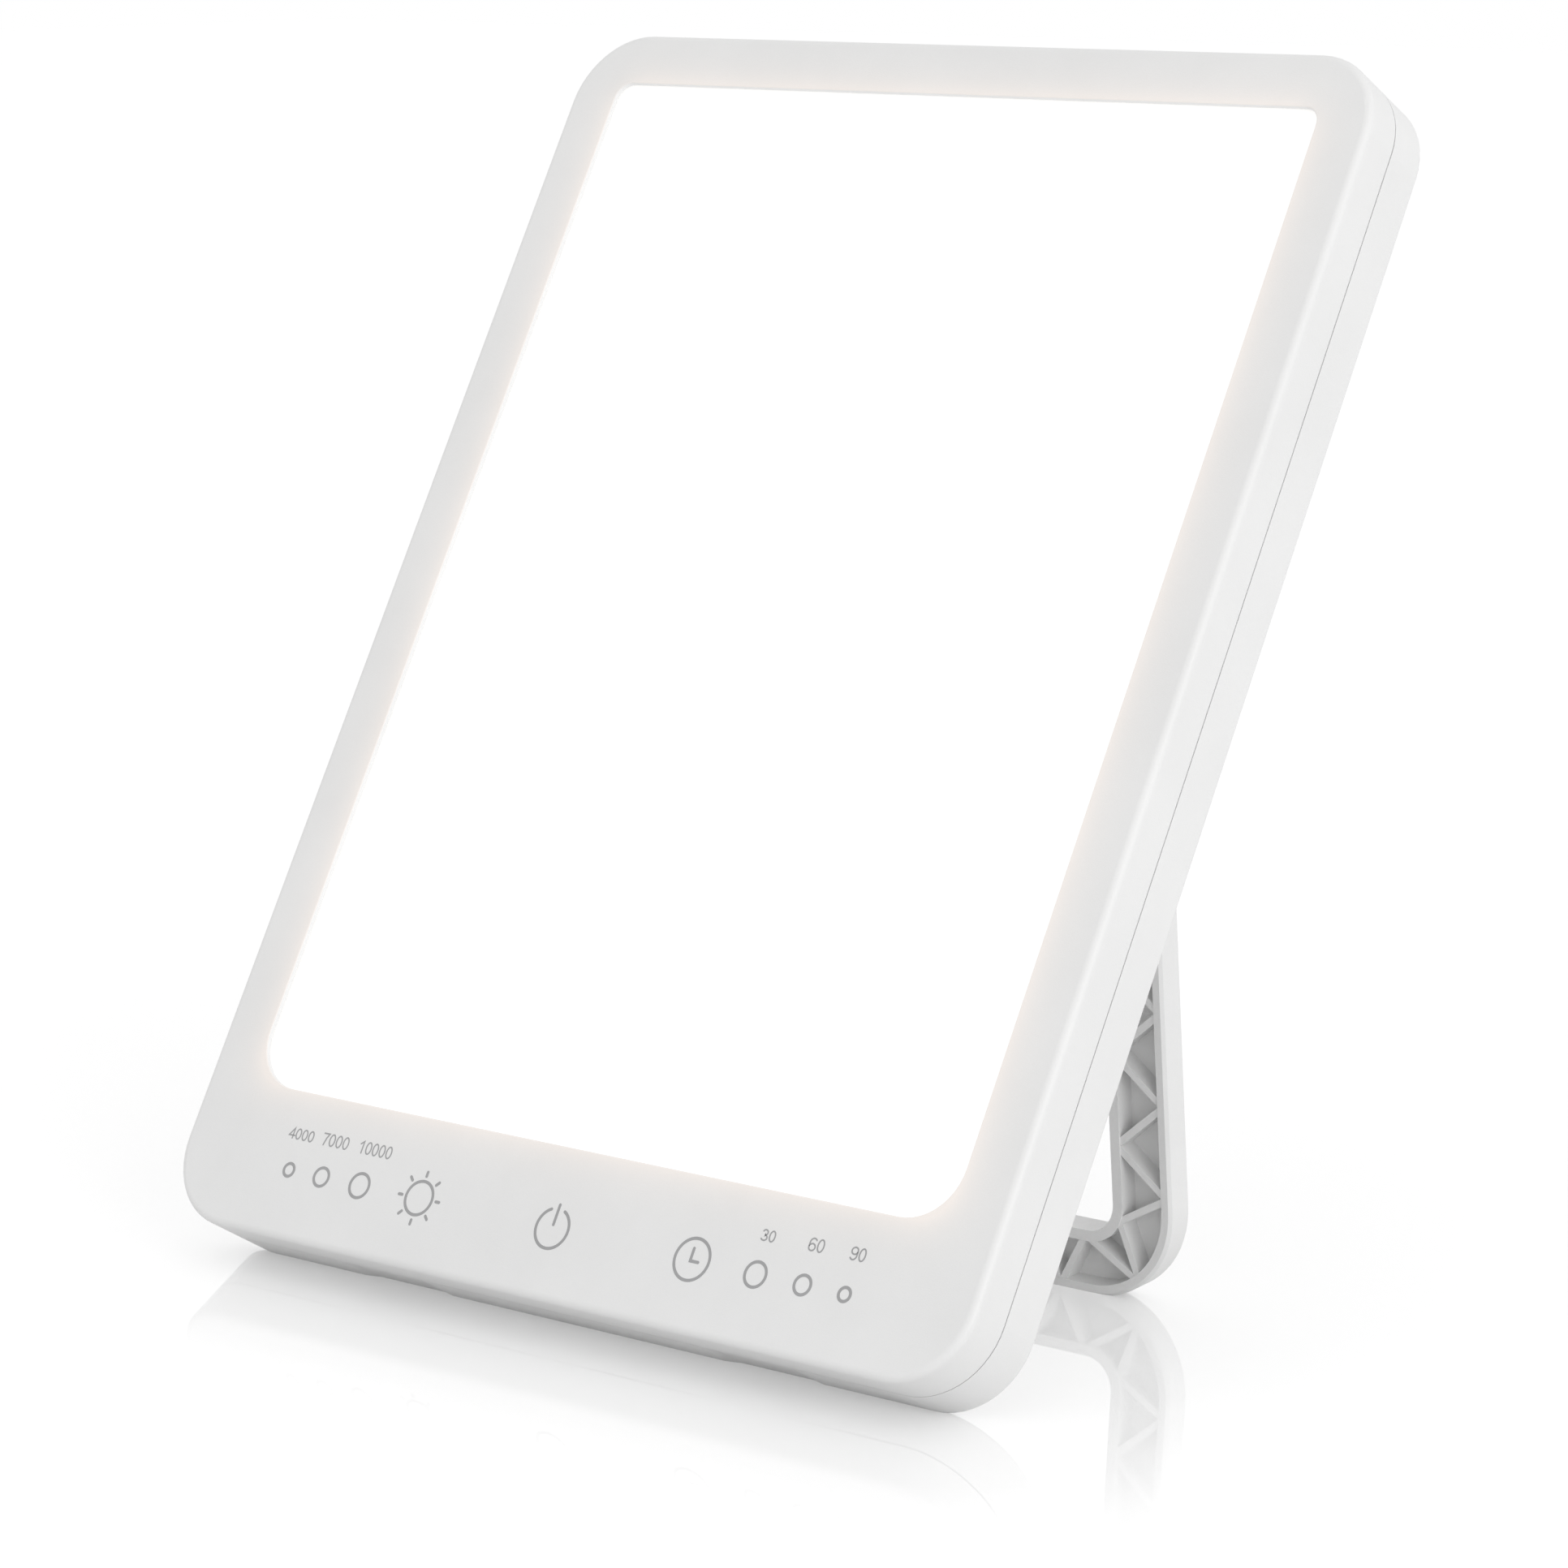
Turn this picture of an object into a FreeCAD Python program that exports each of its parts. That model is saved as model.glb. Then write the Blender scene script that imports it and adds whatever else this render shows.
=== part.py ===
import FreeCAD, Part
import math
import os
import Sketcher

# Light therapy lamp: a slim upright light panel that leans back on a fold-out U stand.
# Row frame: +X to the right seen from the front, +Y to the back, +Z up, millimetres.
# The origin is the middle of the flat land that the panel's rear bottom edge stands on.
# Panel frame: x to the right, y up the panel, z from its rear face to its front face.

document = FreeCAD.newDocument("light_therapy_lamp")
sheet = document.addObject("Spreadsheet::Sheet", "sizes")

# Driving dimensions in millimetres, degrees and counts
DIMENSIONS = (
    ("panel_width", 200.0, "panel, left to right"),
    ("panel_height", 265.0, "panel, bottom to top along its face"),
    ("panel_depth", 20.0, "panel, rear face to front face"),
    ("panel_corner", 16.0, "corner radius of the panel outline"),
    ("front_round", 1.5, "rounding of the front edge"),
    ("rear_round", 0.8, "rounding of the rear edge"),
    ("tilt_angle", 30.0, "lean of the panel back from vertical"),
    ("rest_rise", 0.5, "height cut off the rear bottom edge to make its land"),
    ("side_wall", 2.2, "side wall of both shells"),
    ("face_wall", 2.2, "front wall of the bezel"),
    ("rear_wall", 2.0, "rear wall"),
    ("front_depth", 9.4, "depth of the front shell"),
    ("seam_gap", 0.3, "shadow gap between the shells"),
    ("tongue_wall", 1.1, "tongue of the rear shell inside the front shell"),
    ("tongue_reach", 3.0, "height of that tongue"),
    ("slip_gap", 0.1, "clearance of parts that slide together"),
    ("sheet_corner", 1.0, "corner radius of the diffuser and the circuit boards"),
    ("bezel_side", 12.0, "bezel beside the window"),
    ("window_bottom", 29.7, "bottom edge of the window above the panel's bottom"),
    ("window_top", 11.5, "bezel above the window"),
    ("window_corner_low", 11.1, "window's lower corner radius"),
    ("window_corner_high", 3.6, "window's upper corner radius"),
    ("window_round", 0.35, "rounding of the window's front edge"),
    ("lip_wall", 1.0, "thinned bezel over the diffuser"),
    ("overlap_side", 3.5, "diffuser hidden behind each side of the bezel"),
    ("overlap_end", 2.7, "diffuser hidden behind the top and bottom of the bezel"),
    ("gasket_depth", 0.4, "foam gasket between bezel and diffuser"),
    ("gasket_inset", 0.5, "gasket behind the window's edge"),
    ("diffuser_depth", 2.0, "opal diffuser"),
    ("film_depth", 0.3, "diffusing film"),
    ("guide_depth", 3.0, "light guide plate"),
    ("reflector_depth", 0.3, "white reflector sheet"),
    ("plate_depth", 1.0, "aluminium back plate"),
    ("guide_gap", 0.4, "air between the leds and the light guide's edge"),
    ("led_board_wall", 1.0, "led board thickness"),
    ("led_rise", 0.8, "led height off its board"),
    ("led_length", 3.0, "led along its board"),
    ("led_breadth", 1.4, "led across its board"),
    ("led_pitch", 6.5, "led spacing"),
    ("led_count", 34, "leds on each side"),
    ("stack_trim", 1.0, "light guide short of the diffuser at each side"),
    ("boss_round", 2.3, "radius of the screw bosses"),
    ("post_round", 4.0, "radius of the hollow posts for the rear screws"),
    ("boss_inset_low", 5.9, "bottom row of housing screws above the panel's bottom"),
    ("boss_inset_high", 6.0, "top row of housing screws below the panel's top"),
    ("boss_inset_side", 20.0, "outer housing screws from the panel's sides"),
    ("post_top", 7.0, "height where the rear posts meet the front bosses"),
    ("counterbore_floor", 2.0, "plastic left under a rear screw's head"),
    ("screw_core", 1.2, "radius of the housing screws' shank"),
    ("screw_head", 2.3, "radius of the housing screws' head"),
    ("head_rise", 1.6, "height of the housing screws' head"),
    ("screw_reach", 8.0, "housing screw below its head"),
    ("small_core", 0.9, "radius of the small screws' shank"),
    ("small_head", 1.7, "radius of the small screws' head"),
    ("small_rise", 1.1, "height of the small screws' head"),
    ("small_reach", 3.0, "small screw in its post"),
    ("pilot_gap", 0.05, "clearance of a shank in its pilot hole"),
    ("hole_gap", 0.2, "clearance of a shank in a through hole"),
    ("counterbore_gap", 0.3, "clearance of a head in its counterbore"),
    ("recess_width", 1.0, "arm length of the cross recess in a screw head"),
    ("recess_slot", 0.4, "width of the cross recess"),
    ("recess_sink", 0.6, "depth of the cross recess"),
    ("legend_line", 13.8, "height of the touch icons above the panel's bottom"),
    ("key_inset", 65.3, "side touch keys from the panel's sides"),
    ("key_round", 4.3, "radius of a touch electrode"),
    ("pad_depth", 3.0, "touch electrode from board to bezel"),
    ("lamp_near", 49.7, "indicator nearest its touch key from the panel's side"),
    ("lamp_middle", 38.9, "middle indicator from the panel's side"),
    ("lamp_far", 29.5, "outermost indicator from the panel's side"),
    ("pipe_small", 1.3, "radius of the smallest light pipe"),
    ("pipe_middle", 1.9, "radius of the middle light pipe"),
    ("pipe_large", 2.4, "radius of the largest light pipe"),
    ("control_inset", 14.0, "ends of the control board from the panel's sides"),
    ("control_low", 9.0, "bottom of the control board"),
    ("control_rise", 15.0, "height of the control board"),
    ("board_depth", 1.2, "circuit board thickness"),
    ("control_post_near", 18.0, "inner posts of the control board from the middle"),
    ("control_post_side", 19.0, "outer posts of the control board from the panel's sides"),
    ("control_post_round", 2.0, "radius of those posts"),
    ("control_post_drop", 5.0, "those posts below the back plate's edge"),
    ("chip_line", 25.0, "touch controller left of the middle"),
    ("chip_half", 3.0, "half width of the touch controller"),
    ("chip_drop", 4.0, "touch controller's middle below the back plate's edge"),
    ("plate_low", 17.0, "bottom edge of the back plate"),
    ("plate_post_low", 21.5, "lower screws of the back plate"),
    ("plate_post_side", 9.0, "lower screws of the back plate from the panel's sides"),
    ("plate_post_near", 40.0, "upper screws of the back plate from the middle"),
    ("driver_half", 46.0, "half width of the driver board"),
    ("driver_low", 62.0, "bottom of the driver board"),
    ("driver_rise", 44.0, "height of the driver board"),
    ("driver_stand_off", 2.0, "posts under the driver board"),
    ("driver_inset", 4.0, "driver board screws from its edges"),
    ("driver_pilot_sink", 0.8, "pilots of those screws in the rear wall"),
    ("insulator_gap", 1.0, "insulating sheet beside the board's posts"),
    ("insulator_depth", 0.3, "insulating sheet under the driver board"),
    ("coil_round", 6.5, "radius of the driver's inductor"),
    ("coil_rise", 4.8, "height of the driver's inductor"),
    ("coil_offset", 8.0, "inductor right of the middle"),
    ("capacitor_round", 3.3, "radius of the driver's capacitors"),
    ("capacitor_rise", 5.3, "height of the driver's capacitors"),
    ("capacitor_offset", 26.0, "capacitors left and rectifier right of the middle"),
    ("large_chip_half", 2.5, "half width of the large driver chips"),
    ("small_chip_half", 2.0, "half width of the small driver chip"),
    ("driver_chip_rise", 1.5, "height of the driver chips"),
    ("socket_long", 12.0, "socket for the control ribbon, left to right"),
    ("socket_wide", 8.0, "sockets for the led leads, along the panel"),
    ("socket_reach", 6.0, "sockets for the led leads, from outside to inside"),
    ("socket_deep", 5.0, "socket for the control ribbon, bottom to top"),
    ("socket_inset", 1.0, "sockets from the driver board's edges"),
    ("socket_rise", 4.0, "height of the sockets"),
    ("stand_inset", 21.5, "outer side of the stand from the panel's side"),
    ("leg_width", 13.75, "width of a stand leg"),
    ("stand_depth", 6.3, "thickness of the stand"),
    ("foot_rise", 13.2, "height of the stand's foot bar"),
    ("stand_corner", 20.0, "outer corner radius of the stand"),
    ("stand_inner_corner", 6.5, "inner corner radius of the stand"),
    ("stand_wall", 2.2, "rim around the ribbed side of the stand"),
    ("stand_pocket", 4.4, "depth of the ribbed side"),
    ("stand_chamfer", 0.6, "chamfer of the stand's outer front edge"),
    ("stand_rear_round", 0.8, "rounding of the stand's outer rear edge"),
    ("rib_wall", 1.4, "rib thickness"),
    ("rib_drop", 0.3, "rib tops below the rim"),
    ("rib_corner_drop", 6.2, "inner corner rib node below the lowest leg node"),
    ("rib_corner_side", 8.4, "outer corner rib node from the stand's side"),
    ("rib_corner_rise", 4.4, "outer corner rib node above the foot"),
    ("rib_bar_gap", 0.8, "first upper node of the foot bar beyond its inner corner"),
    ("leg_rib_pitch", 9.3, "rise of one rib on a leg"),
    ("leg_rib_start", 22.4, "first rib node on a leg above the foot"),
    ("leg_rib_count", 10, "ribs on a leg"),
    ("foot_rib_inset", 27.5, "outermost lower rib node of the foot bar from the stand's side"),
    ("foot_rib_count", 16, "ribs in the foot bar between those nodes"),
    ("solid_end", 9.0, "solid end of a leg below the hinge"),
    ("open_angle", 35.0, "stand from folded to its stop"),
    ("hinge_line", 150.4, "hinge axis above the panel's bottom"),
    ("heel_reach", 4.0, "end of a leg beyond the hinge axis"),
    ("heel_chamfer", 1.5, "chamfer of the heel's rear edge"),
    ("heel_start", 0.5, "start of the heel's flat beyond the hinge axis"),
    ("stop_gap", 0.05, "clearance of the heel at its stop"),
    ("channel_gap", 0.5, "clearance round the folded stand"),
    ("channel_floor_gap", 0.3, "clearance under the folded stand"),
    ("channel_end_gap", 0.8, "clearance beyond the heel"),
    ("channel_wall", 1.8, "walls of the stand's channel inside the shell"),
    ("pin_round", 1.25, "hinge pin radius"),
    ("pin_fit", 0.02, "clearance of the pin in the shell"),
    ("run_fit", 0.05, "running clearance of the pin in its bush"),
    ("bush_round", 2.0, "outer radius of the hinge bush"),
    ("lug_width", 6.5, "hinge lug in the shell beside the leg"),
    ("lug_below", 12.0, "lug below the axis"),
    ("lug_above", 6.5, "lug above the axis"),
    ("lug_end_wall", 1.5, "plastic beyond the blind end of the pin's bore"),
    ("washer_wall", 0.4, "thrust washer thickness"),
    ("washer_round", 2.8, "thrust washer radius"),
    ("keeper_wall", 1.5, "plate that keeps the hinge pin in"),
    ("keeper_margin", 1.0, "keeper inside the lug's lower edge"),
    ("keeper_edge", 0.5, "keeper below the lug's front face"),
    ("scoop_half", 14.0, "half width of the finger scoop"),
    ("scoop_rise", 6.0, "height of the finger scoop below the foot"),
    ("scoop_sink", 4.5, "depth of the finger scoop"),
    ("notch_inset", 41.7, "underside notches, outer end from the panel's sides"),
    ("notch_length", 23.3, "underside notches, end to end"),
    ("notch_slope", 3.0, "length of a notch's sloped end"),
    ("notch_sink", 0.5, "depth of the underside notches"),
    ("vent_length", 38.0, "vent slot length"),
    ("vent_width", 2.4, "vent slot width"),
    ("vent_inset", 14.0, "inner end of a vent slot from the middle"),
    ("vent_pitch", 6.0, "vent slot spacing"),
    ("vent_count", 9, "vent slots in the upper group"),
    ("vent_line", 180.0, "lowest slot of the upper group"),
    ("vent_low_count", 4, "vent slots in the lower group"),
    ("vent_low_line", 40.0, "lowest slot of the lower group"),
    ("plaque_half", 28.0, "half width of the bare recess on the rear"),
    ("plaque_low", 112.0, "bottom of that recess"),
    ("plaque_rise", 26.0, "height of that recess"),
    ("plaque_sink", 0.3, "depth of that recess"),
    ("plaque_corner", 2.0, "corner radius of that recess"),
    ("inlet_line", 40.0, "power inlet above the panel's bottom"),
    ("inlet_level", 6.2, "power inlet in front of the rear face"),
    ("inlet_bore", 2.75, "radius of the inlet's socket"),
    ("inlet_nose", 3.6, "radius of the inlet's nose"),
    ("inlet_clearance", 2.7, "air between the inlet and the stand's channel"),
    ("inlet_trim", 0.3, "inlet block thinner than its width, at front and rear"),
    ("inlet_pin_sink", 1.2, "tip of the centre pin behind the side face"),
    ("inlet_width", 9.0, "inlet body width"),
    ("inlet_sink", 9.5, "depth of the inlet's socket"),
    ("inlet_pin", 1.05, "radius of the inlet's centre pin"),
    ("lead_width", 3.0, "flat twin lead width"),
    ("lead_wall", 1.0, "flat twin lead thickness"),
    ("ribbon_width", 10.0, "control ribbon width"),
    ("ribbon_wall", 0.4, "control ribbon thickness"),
    ("ribbon_landing", 4.0, "end of the control ribbon above the driver board's edge"),
    ("lead_bend", 1.5, "inner bend radius of the leads"),
    ("lead_offset", 2.0, "leads above and below the driver board's middle line"),
    ("lead_landing", 4.0, "end of a led lead inside the driver board's edge"),
    ("lead_gap", 0.05, "clearance of a led lead beside its rail"),
    ("inlet_lead_width", 1.8, "inlet lead, rear to front"),
    ("inlet_lead_side", 7.5, "inlet lead's run beside the driver board"),
)
for row, (alias, number, meaning) in enumerate(DIMENSIONS, start=1):
    sheet.set(f"A{row}", alias)
    sheet.set(f"B{row}", str(number))
    sheet.setAlias(f"B{row}", alias)
    sheet.set(f"C{row}", meaning)
document.recompute()


class Size:
    """A length, angle or count: its number, and the sheet formula that gives it."""

    def __init__(self, formula, number):
        self.formula = formula
        self.number = number

    def join(self, sign, other, number, swap=False):
        text = other.formula if isinstance(other, Size) else repr(other)
        first, second = (text, self.formula) if swap else (self.formula, text)
        return Size(f"({first} {sign} {second})", number)

    def __add__(self, other):
        return self.join("+", other, self.number + amount(other))

    def __sub__(self, other):
        return self.join("-", other, self.number - amount(other))

    def __mul__(self, other):
        return self.join("*", other, self.number * amount(other))

    def __truediv__(self, other):
        return self.join("/", other, self.number / amount(other))

    def __radd__(self, other):
        return self.join("+", other, amount(other) + self.number, swap=True)

    def __rsub__(self, other):
        return self.join("-", other, amount(other) - self.number, swap=True)

    def __rmul__(self, other):
        return self.join("*", other, amount(other) * self.number, swap=True)

    def __neg__(self):
        return 0 - self


def amount(size):
    """The plain number of a size."""
    return size.number if isinstance(size, Size) else size


def formula(size):
    """The sheet formula of a size."""
    return size.formula if isinstance(size, Size) else repr(size)


def sine(angle):
    return Size(f"sin({angle.formula})", math.sin(math.radians(angle.number)))


def cosine(angle):
    return Size(f"cos({angle.formula})", math.cos(math.radians(angle.number)))


def tangent(angle):
    return Size(f"tan({angle.formula})", math.tan(math.radians(angle.number)))


def root(size):
    return Size(f"sqrt({size.formula})", math.sqrt(size.number))


def dimension(alias):
    return Size(f"sizes.{alias}", float(sheet.get(alias)))


# Driving dimensions by name
d = {alias: dimension(alias) for alias, number, meaning in DIMENSIONS}

# Levels in the panel frame
front_face = d["panel_depth"]
face_inside = front_face - d["face_wall"]
seam_front = front_face - d["front_depth"]
seam_rear = seam_front - d["seam_gap"]
panel_half = d["panel_width"] / 2
inner_half = panel_half - d["side_wall"]
inner_top = d["panel_height"] - d["side_wall"]
inner_corner = d["panel_corner"] - d["side_wall"]

# The optical stack, from the bezel's lip towards the rear
lip_level = front_face - d["lip_wall"]
gasket_level = lip_level - d["gasket_depth"]
diffuser_level = gasket_level - d["diffuser_depth"]
film_level = diffuser_level - d["film_depth"]
guide_level = film_level - d["guide_depth"]
reflector_level = guide_level - d["reflector_depth"]
plate_level = reflector_level - d["plate_depth"]
window_half = panel_half - d["bezel_side"]
window_high = d["panel_height"] - d["window_top"]
stack_half = window_half + d["overlap_side"]
stack_low = d["window_bottom"] - d["overlap_end"]
stack_high = window_high + d["overlap_end"]

# Led rails beside the light guide
guide_half = stack_half - d["stack_trim"]
led_face = guide_half + d["guide_gap"]
led_back = led_face + d["led_rise"]
rail_inside = led_back + d["led_board_wall"]
rail_outside = rail_inside + d["plate_depth"]

# Driver board and the leads that end on it
driver_level = d["rear_wall"] + d["driver_stand_off"]
driver_face = driver_level + d["board_depth"]
driver_middle = d["driver_low"] + d["driver_rise"] / 2
socket_top = driver_face + d["socket_rise"]
lead_column = (led_back + rail_inside) / 2 - d["lead_gap"]
lead_line = driver_middle + d["lead_offset"]

# Screws and posts
screw_rows = (d["boss_inset_low"], d["panel_height"] - d["boss_inset_high"])
boss_column = panel_half - d["boss_inset_side"]
screw_columns = (-boss_column, Size("0", 0.0), boss_column)
head_seat = d["post_top"] - d["counterbore_floor"]
control_front = face_inside - d["pad_depth"]
control_back = control_front - d["board_depth"]
plate_post_high = d["panel_height"] - d["boss_inset_high"]
control_post_line = d["plate_low"] - d["control_post_drop"]
pilot_round = d["screw_core"] + d["pilot_gap"]
small_pilot = d["small_core"] + d["pilot_gap"]
small_hole = d["small_core"] + d["hole_gap"]

# The stand folds into a channel in the rear face
stand_half = panel_half - d["stand_inset"]
leg_inside = stand_half - d["leg_width"]
hinge_level = d["stand_depth"] / 2
channel_depth = d["stand_depth"] + d["channel_floor_gap"]
channel_roof = channel_depth + d["channel_wall"]
lean_angle = d["open_angle"] - d["tilt_angle"]
keeper_screw_line = d["hinge_line"] - d["lug_below"] * 2 / 3
keeper_screw_level = (d["rear_wall"] + channel_roof) / 2
channel_outside = stand_half + d["channel_gap"] + d["channel_wall"]

# The power inlet fills the space between the left wall and the channel
tongue_inside = inner_half - d["slip_gap"] - d["tongue_wall"]
inlet_outside = tongue_inside - d["slip_gap"]
inlet_inside = channel_outside + d["inlet_clearance"]
inlet_front = d["inlet_level"] + d["inlet_width"] / 2 - d["inlet_trim"]

# Where the panel stands: its rear bottom corner lies below and behind the land
corner_back = d["rest_rise"] / tangent(d["tilt_angle"]) / 2 - d["rest_rise"] * tangent(d["tilt_angle"]) / 2
corner_low = -d["rest_rise"]
axis_back = (corner_back + d["hinge_line"] * sine(d["tilt_angle"])
             - hinge_level * cosine(d["tilt_angle"]))
axis_high = (corner_low + d["hinge_line"] * cosine(d["tilt_angle"])
             + hinge_level * sine(d["tilt_angle"]))
leg_reach = axis_high / cosine(lean_angle)
foot_slope = tangent(lean_angle)
foot_end = leg_reach + hinge_level * foot_slope

# How far a cut runs past the wall that it opens, and how round a vent slot's ends are
spare = 0.5
vent_end_share = 0.45

pieces = []


def bind(item, **sizes):
    """Tie an object's properties to formulas of the sheet."""
    for name, size in sizes.items():
        item.setExpression(name.replace("__", "."), formula(size))


def place(item, back, high, angle):
    """Turn a piece about X and put its frame's origin at its place."""
    item.Placement = FreeCAD.Placement(
        FreeCAD.Vector(0, amount(back), amount(high)),
        FreeCAD.Rotation(FreeCAD.Vector(1, 0, 0), amount(angle)))
    if item.TypeId != "Part::Feature":
        bind(item, Placement__Base__y=back, Placement__Base__z=high, Placement__Rotation__Angle=angle)


def finish_piece(item, label, with_stand=False):
    """Name a finished piece and stand it in the row frame."""
    item.Label = label
    if with_stand:
        place(item, axis_back, axis_high, 90 - d["tilt_angle"] + d["open_angle"])
    else:
        place(item, corner_back, corner_low, 90 - d["tilt_angle"])
    pieces.append(item)


def new_body(name):
    body = document.addObject("PartDesign::Body", name)
    body.AllowCompound = True
    return body


def new_sketch(body, name, level=0.0, plane="XY_Plane"):
    """A sketch on one of the body's own planes, raised by a level."""
    sketch = body.newObject("Sketcher::SketchObject", name)
    support = [item for item in body.Origin.OriginFeatures if item.Role == plane][0]
    sketch.AttachmentSupport = (support, [""])
    sketch.MapMode = "FlatFace"
    sketch.AttachmentOffset = FreeCAD.Placement(FreeCAD.Vector(0, 0, amount(level)), FreeCAD.Rotation())
    sketch.setExpression("AttachmentOffset.Base.z", formula(level))
    return sketch


def held(kind, item, point, size):
    """Rule and formula that hold a point at a signed distance from the sketch's origin."""
    number = amount(size)
    if number < 0:
        return Sketcher.Constraint(kind, item, point, -1, 1, -number), f"-({formula(size)})"
    return Sketcher.Constraint(kind, -1, 1, item, point, number), formula(size)


def apply_rules(sketch, rules):
    """Add rules to a sketch at once, each with the formula it follows, if any."""
    first = sketch.ConstraintCount
    sketch.addConstraint([rule for rule, text in rules])
    for index, (rule, text) in enumerate(rules):
        if text:
            sketch.setExpression(f"Constraints[{first + index}]", text)


def outline(sketch, corners):
    """A closed outline of level and upright edges; each corner is x, y, radius."""
    count = len(corners)
    points = [FreeCAD.Vector(amount(x), amount(y), 0) for x, y, radius in corners]
    ends = []
    for index, (x, y, radius) in enumerate(corners):
        here = points[index]
        towards = (points[(index + 1) % count] - here).normalize()
        back = (points[index - 1] - here).normalize()
        ends.append((here + back * amount(radius), here + towards * amount(radius)))
    first = sketch.GeometryCount
    shapes = [Part.LineSegment(ends[index][1], ends[(index + 1) % count][0]) for index in range(count)]
    rules = []
    for index, (x, y, radius) in enumerate(corners):
        before = first + (index - 1) % count
        after = first + index
        if amount(radius) == 0:
            rules.append((Sketcher.Constraint("Coincident", before, 2, after, 1), None))
            continue
        start, stop = ends[index]
        centre = start + stop - points[index]
        bulge = centre + (points[index] - centre).normalize() * amount(radius)
        arc = first + len(shapes)
        shapes.append(Part.Arc(start, bulge, stop))
        turn = (start - centre).cross(stop - centre).z
        near, far = (1, 2) if turn > 0 else (2, 1)
        rules.append((Sketcher.Constraint("Tangent", before, 2, arc, near), None))
        rules.append((Sketcher.Constraint("Tangent", arc, far, after, 1), None))
        rules.append((Sketcher.Constraint("Radius", arc, amount(radius)), formula(radius)))
    for index, (x, y, radius) in enumerate(corners):
        line = first + index
        if abs(points[index].y - points[(index + 1) % count].y) < 1e-9:
            rules.append((Sketcher.Constraint("Horizontal", line), None))
            rules.append(held("DistanceY", line, 1, y))
        else:
            rules.append((Sketcher.Constraint("Vertical", line), None))
            rules.append(held("DistanceX", line, 1, x))
    sketch.addGeometry(shapes, False)
    apply_rules(sketch, rules)


def rectangle(sketch, left, right, low, high, radius=0, high_radius=None):
    top = radius if high_radius is None else high_radius
    outline(sketch, ((left, low, radius), (right, low, radius), (right, high, top), (left, high, top)))


def polygon(sketch, points):
    """A closed outline of straight edges with every corner held in place."""
    count = len(points)
    spots = [FreeCAD.Vector(amount(x), amount(y), 0) for x, y in points]
    first = sketch.GeometryCount
    rules = []
    for index, (x, y) in enumerate(points):
        before = first + (index - 1) % count
        rules.append((Sketcher.Constraint("Coincident", before, 2, first + index, 1), None))
        rules.append(held("DistanceX", first + index, 1, x))
        rules.append(held("DistanceY", first + index, 1, y))
    sketch.addGeometry([Part.LineSegment(spots[i], spots[(i + 1) % count]) for i in range(count)], False)
    apply_rules(sketch, rules)


def circle(sketch, x, y, radius):
    shape = Part.Circle(FreeCAD.Vector(amount(x), amount(y), 0), FreeCAD.Vector(0, 0, 1), amount(radius))
    item = sketch.addGeometry(shape, False)
    size = (Sketcher.Constraint("Radius", item, amount(radius)), formula(radius))
    apply_rules(sketch, [size, held("DistanceX", item, 3, x), held("DistanceY", item, 3, y)])


def pad(body, sketch, name, length, reverse=False, middle=False):
    feature = body.newObject("PartDesign::Pad", name)
    feature.Profile = sketch
    feature.Reversed = reverse
    if middle:
        feature.Midplane = True
    bind(feature, Length=length)
    return feature


def pocket(body, sketch, name, length, reverse=False, middle=False):
    """Cut a sketch into the body, and make sure that something is cut."""
    document.recompute()
    before = body.Shape.Volume
    feature = body.newObject("PartDesign::Pocket", name)
    feature.Profile = sketch
    feature.Reversed = reverse
    if middle:
        feature.Midplane = True
    bind(feature, Length=length)
    document.recompute()
    if not body.Shape.Volume < before:
        raise RuntimeError(f"{name} cuts nothing")
    return feature


def repeat_up(body, sketch, feature, name, pitch, count):
    """Repeat a feature up the sketch's own upright axis."""
    document.recompute()
    row = body.newObject("PartDesign::LinearPattern", name)
    row.Originals = [feature]
    row.Direction = (sketch, ["V_Axis"])
    row.Mode = "Spacing"
    bind(row, Offset=pitch, Occurrences=count)
    body.Tip = row


def edges_where(shape, wanted):
    return [f"Edge{index + 1}" for index, edge in enumerate(shape.Edges) if wanted(edge)]


def soften(body, kind, name, size, wanted):
    """Round or chamfer the edges that the test picks."""
    document.recompute()
    base = body.Tip
    names = edges_where(base.Shape, wanted)
    if not names:
        raise RuntimeError(f"{name} finds no edge")
    feature = body.newObject(f"PartDesign::{kind}", name)
    feature.Base = (base, names)
    if kind == "Fillet":
        bind(feature, Radius=size)
    else:
        bind(feature, Size=size)
    document.recompute()
    return feature


def flat_at(edge, level):
    """Whether an edge lies in the plane at this height of its body."""
    box = edge.BoundBox
    return abs(box.ZMin - amount(level)) < 1e-4 and abs(box.ZMax - amount(level)) < 1e-4


def slab(name, label, left, right, low, high, level, thickness, radius=0):
    """A flat sheet or board with its rear face at a level."""
    body = new_body(name)
    sketch = new_sketch(body, f"{name}_outline", level)
    rectangle(sketch, left, right, low, high, radius)
    pad(body, sketch, f"{name}_sheet", thickness)
    finish_piece(body, label)
    return body


def discs(name, label, spots, level, length):
    """Round pieces of one kind; each spot is x, y, radius."""
    body = new_body(name)
    sketch = new_sketch(body, f"{name}_outline", level)
    for x, y, radius in spots:
        circle(sketch, x, y, radius)
    pad(body, sketch, f"{name}_round", length)
    finish_piece(body, label)
    return body


def cross(sketch, x, y, arm, slot):
    """The plus-shaped outline of a screw's cross recess."""
    near = slot / 2
    polygon(sketch, (
        (x - near, y - arm), (x + near, y - arm), (x + near, y - near), (x + arm, y - near),
        (x + arm, y + near), (x + near, y + near), (x + near, y + arm), (x - near, y + arm),
        (x - near, y + near), (x - arm, y + near), (x - arm, y - near), (x - near, y - near)))


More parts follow.
